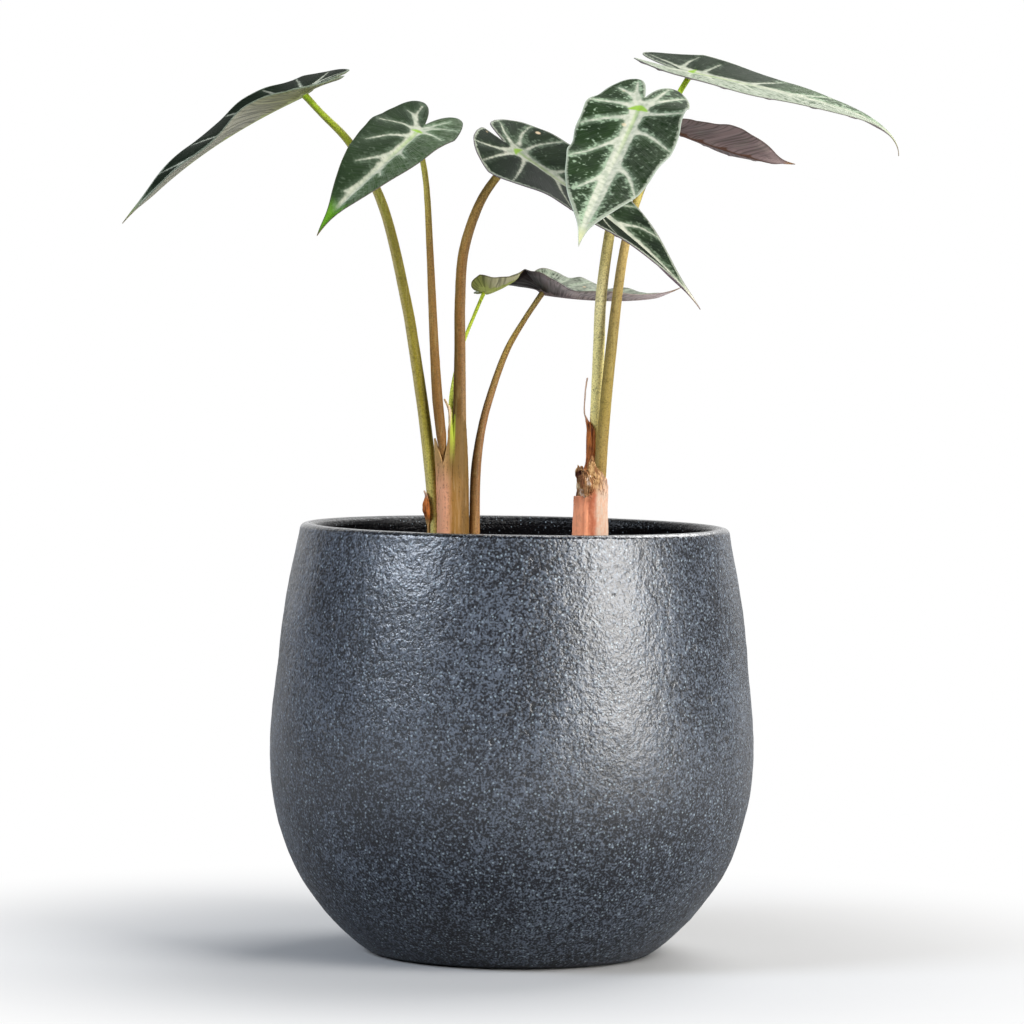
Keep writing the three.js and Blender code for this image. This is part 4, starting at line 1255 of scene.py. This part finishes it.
def vein_edge(leaf, x, y):
    """Distance from the pale veins, negative inside them, with soft forks. All in millimetres."""
    length, half = leaf["length"], leaf["half"]
    scale, rib = leaf["midrib"] / 1.9, leaf["midrib"]
    line = [(t * length, 0) for t in np.linspace(0, 1, 13)]
    edges = [distance_to(line, x, y, rib, rib, rib * 0.85, 0.3)]
    halves = OWN_VEINS.get(leaf["name"], (COMMON_VEINS, COMMON_VEINS))
    for side, veins in zip((1, -1), halves):
        for k, vein in enumerate(veins):
            line = through([(t * length, side * w * half) for t, w in vein], 5)
            start = (1.6, 0.8, 1)[min(k, 2)] * scale
            edges.append(distance_to(line, x, y, start, 0.5 * scale, 0.15 * scale))
    total = sum(np.exp(-edge / VEIN_UNION) for edge in edges)
    return -VEIN_UNION * np.log(np.maximum(total, 1e-12))


def heart_edge(leaf, x, y):
    """Distance from the yellow-green crescent where the stem meets the blade."""
    scale = leaf["midrib"] / 2.0
    crescent = [(0.9 * scale, -2.8 * scale), (-0.4 * scale, 0), (0.9 * scale, 2.8 * scale)]
    return distance_to(through(crescent, 4), x, y, 0.2, 1.2 * scale, 0.2)


class ALOCASIA_OT_blades(bpy.types.Operator):
    """Makes the eight leaf blades with their veins, folds and waved margins"""

    bl_idname = "alocasia.blades"
    bl_label = "Leaf blades"

    def execute(self, context):
        settings = context.scene.alocasia_blades
        for leaf in LEAVES:
            self.make(leaf, settings)
        return {"FINISHED"}

    def make(self, leaf, settings):
        ahead, out, steps = outline_rows(leaf)
        reach = np.linspace(-1, 1, 2 * leaf["across"] + 1)
        root = np.maximum(ahead - out * (VEIN_LEAN + VEIN_LEAN_GROWTH * ahead), 0)[:, None]
        w = out[:, None] * np.abs(reach)
        side = np.where(reach < 0, 1.0, -1.0) * np.ones_like(w)
        t = root + (ahead[:, None] - root) * np.abs(reach)
        blade, i, j = lay_sheet("leaf_blade_" + leaf["name"], blade_places(leaf, t, w, side) * MM)
        write_values(blade, "run", t[i, j])
        write_values(blade, "out", (w * side)[i, j] * leaf["half"])
        write_values(blade, "ray", steps[i])
        edit((bpy.ops.mesh.remove_doubles, {"threshold": MERGE * MM}))
        if np.mean([face.normal for face in blade.data.polygons], 0) @ blade_frame(leaf)[2] < 0:
            edit((bpy.ops.mesh.flip_normals, {}))
        run, out, ray = (read_values(blade, name) for name in ("run", "out", "ray"))
        x, y = run * leaf["length"], out
        vein = vein_edge(leaf, x, y)
        line = through(half_outline(leaf), 3) * (leaf["length"], leaf["half"])
        margin = distance_to(line, x, np.abs(y))
        weigh(blade, "body", smoothly(margin, 0, 3))
        blade.data.materials.append(blade_top(leaf, settings))
        blade.data.materials.append(blade_under(leaf, settings))
        apply_modifier(
            blade, "SOLIDIFY", thickness=settings.thickness, offset=-1, vertex_group="body",
            thickness_vertex_group=0.4, material_offset=1, material_offset_rim=1, use_rim=True,
        )
        blade.vertex_groups.clear()
        panel = settings.panel_rise * (1 - np.exp(-np.maximum(vein, 0) / 1.6))
        groove = 0.3 * MM * np.exp(-((y / 1.1) ** 2)) * smoothly(run, 0.0, 0.05)
        ridge = 0.35 * MM * np.exp(-np.maximum(vein, 0) / 0.8)
        keel = settings.keel * np.exp(-((y / (0.9 * leaf["midrib"])) ** 2)) * (1 - 0.8 * np.maximum(run, 0))
        keel = keel * smoothly(run, -0.06, 0.02)
        lift = np.concatenate([panel - groove, ridge + keel])
        lift = lift * np.tile(smoothly(margin, 0, 1.2) * (1 - smoothly(run, 0.8, 0.92)), 2)
        move_to(blade, places_of(blade) + normals_of(blade) * lift[:, None])
        for name, values in (("vein", vein), ("margin", margin), ("heart", heart_edge(leaf, x, y))):
            write_values(blade, name, np.tile(values, 2))
        write_values(blade, "grain", np.tile(np.stack([ray, y, 0 * y], -1), (2, 1)))
        slot = "young_leaf" if leaf["name"] == "7" else "leaf"
        dress(blade, ["blade_" + leaf["name"]], slot, angle=70)


# Stems, sheaths and remnants


def tube(name, line, radii, resolution=5):
    """A curve with a round section, as wide as the radii, made into a closed mesh."""
    bpy.ops.object.select_all(action="DESELECT")
    bpy.ops.curve.primitive_nurbs_path_add()
    obj = bpy.context.active_object
    obj.name = name
    curve = obj.data
    curve.splines.clear()
    spline = curve.splines.new("POLY")
    spline.points.add(len(line) - 1)
    for point, place, radius in zip(spline.points, line, radii):
        point.co = (*(place * MM), 1)
        point.radius = radius
    curve.bevel_depth = MM
    curve.bevel_resolution = resolution
    curve.use_fill_caps = True
    bpy.ops.object.convert(target="MESH")
    obj = bpy.context.active_object
    edit((bpy.ops.mesh.remove_doubles, {"threshold": MERGE / 2 * MM}),
         (bpy.ops.mesh.normals_make_consistent, {"inside": False}))
    return obj


def tuck_under(stem, blade, at):
    """Presses the stem's top flat against the blade's upper skin from below."""
    mesh = blade.data
    tops = [tuple(face.vertices) for face in mesh.polygons if face.material_index == 0]
    skin = BVHTree.FromPolygons([v.co for v in mesh.vertices], tops)
    places = places_of(stem)
    for k in np.flatnonzero(np.linalg.norm(places - np.array(at) * MM, axis=1) < TUCK_REACH * MM):
        spot, normal, _, _ = skin.find_nearest(Vector(places[k]))
        above = (Vector(places[k]) - spot).dot(normal)
        if above > -TUCK_DEPTH * MM:
            places[k] = spot - normal * TUCK_DEPTH * MM
    move_to(stem, places)


def arc_rows(rows, steps):
    """Places of rows that run round their middles, in metres."""
    fine = through(rows, steps)
    share = np.linspace(0, 1, 41)
    z, x, y, rx, ry, start, stop = fine.T[..., None]
    angle = np.radians(start + (stop - start) * share)
    return np.stack([x + rx * np.cos(angle), y + ry * np.sin(angle), z + 0 * angle], -1) * MM


def crown(rows, tops):
    """Places round level oval rows, as high as the tops say at each angle, in metres."""
    angle = np.linspace(tops[0][0], tops[-1][0], 121)
    top = np.interp(angle, *np.transpose(tops))
    share = 1 - (1 - np.linspace(0, 1, 36)) ** 1.6
    z = rows[0][0] + (top - rows[0][0]) * share[:, None]
    table = np.transpose(rows)
    x, y, rx, ry = (np.interp(z, table[0], values) for values in table[1:])
    turn = np.radians(angle)
    return np.stack([x + rx * np.cos(turn), y + ry * np.sin(turn), z], -1) * MM


def strip_rows(rows):
    """Places of strips that are given as rows of a few places across, in metres."""
    table = [[(x, y, z) for x, y in across] for z, across in rows]
    return np.swapaxes(through(np.swapaxes(through(table, 6), 0, 1), 8), 0, 1) * MM


def loft(name, rows):
    """A closed body through level oval rows of (height, middle x, middle y, half-width x, half-width y)."""
    low, high = rows[0], rows[-1]
    fine = np.vstack([(*low[:3], 0, 0), through(rows, 8), (*high[:3], 0, 0)])
    z, x, y, rx, ry = fine.T[..., None]
    angle = np.linspace(0, 2 * math.pi, 65)
    ovals = np.stack([x + rx * np.cos(angle), y + ry * np.sin(angle), z + 0 * angle], -1)
    obj, _, _ = lay_sheet(name, ovals * MM)
    select_only(obj)
    edit((bpy.ops.mesh.remove_doubles, {"threshold": MERGE * MM}),
         (bpy.ops.mesh.normals_make_consistent, {"inside": False}))
    raise_surface(obj, clouds("loft_ribs", 2.5), 0.3 * MM)
    return obj


def paper(name, grid, thickness, ruffle, edge_ruffle=0.0, seed=1):
    """A thin sheet over a grid of places, ruffled a little, and more at its far end."""
    obj, i, j = lay_sheet(name, grid)
    draw = np.random.default_rng(seed)
    waves = draw.normal(size=(grid.shape[0], grid.shape[1]))
    for _ in range(4):
        waves = (waves + np.roll(waves, 1, 0) + np.roll(waves, -1, 0) + np.roll(waves, 1, 1)) / 4
    waves = waves / np.abs(waves).max()
    share = (i / (grid.shape[0] - 1)) ** 6
    lift = waves[i, j] * (ruffle + edge_ruffle * share) * MM
    places = places_of(obj) + normals_of(obj) * lift[:, None]
    places[:, 2] += waves[i, -1 - j] * edge_ruffle * share * MM
    move_to(obj, places)
    apply_modifier(obj, "SOLIDIFY", thickness=thickness * MM, offset=0)
    apply_modifier(obj, "SUBSURF", levels=1, render_levels=1)
    return obj


class ALOCASIA_OT_stems(bpy.types.Operator):
    """Makes the eight stems, and the sheath that opens at the foot of stem 3"""

    bl_idname = "alocasia.stems"
    bl_label = "Stems"

    def execute(self, context):
        settings = context.scene.alocasia_stems
        for leaf in LEAVES:
            name = leaf["name"]
            stations = STEM_LINES[name]
            x, y, z, radius = stations[0]
            foot = SOIL_TOP - STEM_DEPTH if name in ROOTED else z - 1
            rows = [(x, y, foot, radius), *stations, (*leaf["at"], stations[-1][3])]
            line, radii = stem_line(rows, 14)
            flare = 1 + 0.25 * np.exp(-np.linalg.norm(line - leaf["at"], axis=1) / 2.5)
            stem = tube("petiole_" + name, line, radii * flare)
            raise_surface(stem, clouds("stem_ribs", 3), 0.12 * MM)
            tuck_under(stem, bpy.data.objects["leaf_blade_" + name], leaf["at"])
            # Which way each point faces along x, for the painted light and shade on either side of the stem.
            write_values(stem, "facing", normals_of(stem)[:, 0])
            stem.data.materials.append(stem_skin(name, settings))
            if name == "3":
                self.add_sheath(stem, settings)
            slot = "young_stem" if name == "7" else "stem"
            dress(stem, ["stem_" + name], slot, angle=60)
        return {"FINISHED"}

    def add_sheath(self, stem, settings):
        skin = sheath_skin(settings)
        sheets = [
            loft("sheath_body", SHEATH_BODY), paper("sheath_wing", strip_rows(SHEATH_WING), 0.6, 0.1, 0.2, 4),
            paper("sheath_margin", strip_rows(SHEATH_MARGIN), 0.6, 0.08, 0.1, 5),
        ]
        for sheet in sheets:
            sheet.data.materials.append(skin)
        select_only(*sheets, stem)
        bpy.ops.object.join()


class ALOCASIA_OT_sheaths(bpy.types.Operator):
    """Makes the coral sleeve of the right-hand stems, with its point and torn edge"""

    bl_idname = "alocasia.sheaths"
    bl_label = "Sleeve"

    def execute(self, context):
        settings = context.scene.alocasia_stems
        dry = context.scene.alocasia_dry
        crease = torn_tissue("sleeve_crease", paint("#7a4a2a"), settings.cream)
        torn = torn_tissue("torn_edge", dry.dark, settings.margin)
        sleeve = paper("sleeve", crown(SLEEVE_BODY, SLEEVE_TOP), 0.8, 0.25, 0.25, 6)
        fold = paper("sleeve_fold", arc_rows(SLEEVE_FOLD, 6), 0.5, 0.9, 1.2, 11)
        tear = paper("sleeve_tear", arc_rows(SLEEVE_TEAR, 6), 0.6, 0.9, 1.5, 8)
        for sheet, material in ((sleeve, sleeve_skin(settings)), (fold, crease), (tear, torn)):
            sheet.data.materials.append(material)
        select_only(fold, tear, sleeve)
        bpy.ops.object.join()
        dress(sleeve, ["base_sheath"], "sheath", angle=60)
        return {"FINISHED"}


class ALOCASIA_OT_remnants(bpy.types.Operator):
    """Makes the dry papery remnants of both clumps"""

    bl_idname = "alocasia.remnants"
    bl_label = "Dry remnants"

    def execute(self, context):
        settings = context.scene.alocasia_dry
        strip = paper("dry_strip", arc_rows(DRY_SHEATH, 6), 0.25, 0.3, 0.2, 9)
        dress(strip, ["dry_sheath"], "dry", dry_paper("dry_strip_skin", settings, 208), angle=60)
        flake = paper("dry_flake", strip_rows(DRY_SCALE), 0.45, 0.35, 0.4, 10)
        dress(flake, ["dry_scale"], "dry", dry_paper("dry_flake_skin", settings, 177, 171), angle=60)
        return {"FINISHED"}


# Stage


class ALOCASIA_OT_stage(bpy.types.Operator):
    """Sets the plain pale floor, the studio lights and the camera"""

    bl_idname = "alocasia.stage"
    bl_label = "Stage"

    def execute(self, context):
        settings = context.scene.alocasia_stage
        self.floor(settings)
        self.room(context, settings)
        for name, (at, size, tint) in LIGHTS.items():
            self.lamp(name + "_box", at, size, getattr(settings, name), tint)
        self.camera(context)
        context.scene.view_settings.view_transform = "Standard"
        return {"FINISHED"}

    def floor(self, settings):
        """A pale floor that takes the shadow, and fades to white away from the pot to the eye."""
        bpy.ops.object.select_all(action="DESELECT")
        bpy.ops.mesh.primitive_plane_add(size=20, location=(0, 0, -0.1 * MM))
        floor = bpy.context.active_object
        floor.name = "floor"
        settle(floor)
        s = Shade("pale_floor")
        s.feed(s.surface.inputs["Base Color"], settings.floor)
        s.surface.inputs["Roughness"].default_value = 0.9
        s.surface.inputs["Specular IOR Level"].default_value = 0.0
        glow = s.add("ShaderNodeEmission")
        glow.inputs["Color"].default_value = (1, 1, 1, 1)
        reach = s.add("ShaderNodeVectorMath", operation="LENGTH")
        s.feed(reach.inputs[0], s.places)
        both = s.add("ShaderNodeMixShader")
        seen = s.add("ShaderNodeLightPath").outputs["Is Camera Ray"]
        s.feed(both.inputs[0], s.times(s.rise(reach.outputs["Value"], *FLOOR_FADE), seen))
        s.links.new(s.surface.outputs[0], both.inputs[1])
        s.links.new(glow.outputs[0], both.inputs[2])
        s.links.new(both.outputs[0], s.nodes["Material Output"].inputs[0])
        floor.data.materials.append(s.material)

    def room(self, context, settings):
        """White all round to the eye, and for the light bright behind and dim in front."""
        world = bpy.data.worlds.new("studio")
        context.scene.world = world
        world.use_nodes = True
        nodes, links = world.node_tree.nodes, world.node_tree.links
        white = nodes["Background"]
        white.inputs["Color"].default_value = (1, 1, 1, 1)
        light = nodes.new("ShaderNodeBackground")
        light.inputs["Strength"].default_value = settings.room
        path = nodes.new("ShaderNodeLightPath")
        both = nodes.new("ShaderNodeMixShader")
        links.new(path.outputs["Is Camera Ray"], both.inputs[0])
        links.new(light.outputs[0], both.inputs[1])
        links.new(white.outputs[0], both.inputs[2])
        links.new(both.outputs[0], nodes["World Output"].inputs[0])
        direction = nodes.new("ShaderNodeTexCoord")
        parts = nodes.new("ShaderNodeSeparateXYZ")
        links.new(direction.outputs["Generated"], parts.inputs[0])
        behind = nodes.new("ShaderNodeMapRange")
        behind.interpolation_type = "SMOOTHSTEP"
        for socket, value in zip(list(behind.inputs)[1:5], (0.5, 0.88, 0.1, 1.0)):
            socket.default_value = value
        links.new(parts.outputs["Y"], behind.inputs[0])
        links.new(behind.outputs[0], light.inputs["Color"])

    def lamp(self, name, at, size, power, colour):
        bpy.ops.object.light_add(type="AREA", location=at)
        lamp = bpy.context.active_object
        lamp.name = name
        lamp.data.shape = "RECTANGLE"
        lamp.data.size, lamp.data.size_y = size
        lamp.data.energy = power
        lamp.data.color = colour
        lamp.rotation_euler = (Vector(LIGHT_AIM) - Vector(at)).to_track_quat("-Z", "Y").to_euler()

    def camera(self, context):
        at, aim = (Vector(p) * MM for p in (CAMERA_AT, CAMERA_AIM))
        forward = (aim - at).normalized()
        right = forward.cross(Vector((0, 0, 1))).normalized()
        roll = math.radians(CAMERA_ROLL)
        up = right.cross(forward)
        across = right * math.cos(roll) + up * math.sin(roll)
        over = up * math.cos(roll) - right * math.sin(roll)
        bpy.ops.object.camera_add()
        camera = bpy.context.active_object
        camera.matrix_world = Matrix.Translation(at) @ Matrix((across, over, -forward)).transposed().to_4x4()
        camera.data.sensor_width = SENSOR
        camera.data.lens = FOCAL_PIXELS / PICTURE_SIDE * SENSOR
        camera.data.clip_end = 20
        context.scene.camera = camera


class ALOCASIA_PT_panel(bpy.types.Panel):
    """Lists the makers of each piece and of the stage"""

    bl_label = "Potted alocasia"
    bl_idname = "ALOCASIA_PT_panel"
    bl_space_type = "VIEW_3D"
    bl_region_type = "UI"
    bl_category = "Alocasia"

    def draw(self, context):
        for operator in OPERATORS:
            self.layout.operator(operator.bl_idname)
        for name in SETTINGS:
            group = getattr(context.scene, name)
            box = self.layout.box()
            for key in group.bl_rna.properties.keys():
                if key not in ("rna_type", "name"):
                    box.prop(group, key)


SETTINGS = {
    "alocasia_pot": PotSettings,
    "alocasia_soil": SoilSettings,
    "alocasia_blades": BladeSettings,
    "alocasia_stems": StemSettings,
    "alocasia_dry": DrySettings,
    "alocasia_stage": StageSettings,
}
OPERATORS = [
    ALOCASIA_OT_pot, ALOCASIA_OT_soil, ALOCASIA_OT_blades, ALOCASIA_OT_stems, ALOCASIA_OT_sheaths,
    ALOCASIA_OT_remnants, ALOCASIA_OT_stage,
]
CLASSES = [*SETTINGS.values(), *OPERATORS, ALOCASIA_PT_panel]


def register():
    for item in CLASSES:
        bpy.utils.register_class(item)
    for name, group in SETTINGS.items():
        setattr(bpy.types.Scene, name, bpy.props.PointerProperty(type=group))


def unregister():
    for name in SETTINGS:
        delattr(bpy.types.Scene, name)
    for item in reversed(CLASSES):
        bpy.utils.unregister_class(item)


def main():
    register()
    bpy.ops.alocasia.pot()
    bpy.ops.alocasia.soil()
    bpy.ops.alocasia.blades()
    bpy.ops.alocasia.stems()
    bpy.ops.alocasia.sheaths()
    bpy.ops.alocasia.remnants()
    bpy.ops.alocasia.stage()


if __name__ == "__main__":
    main()
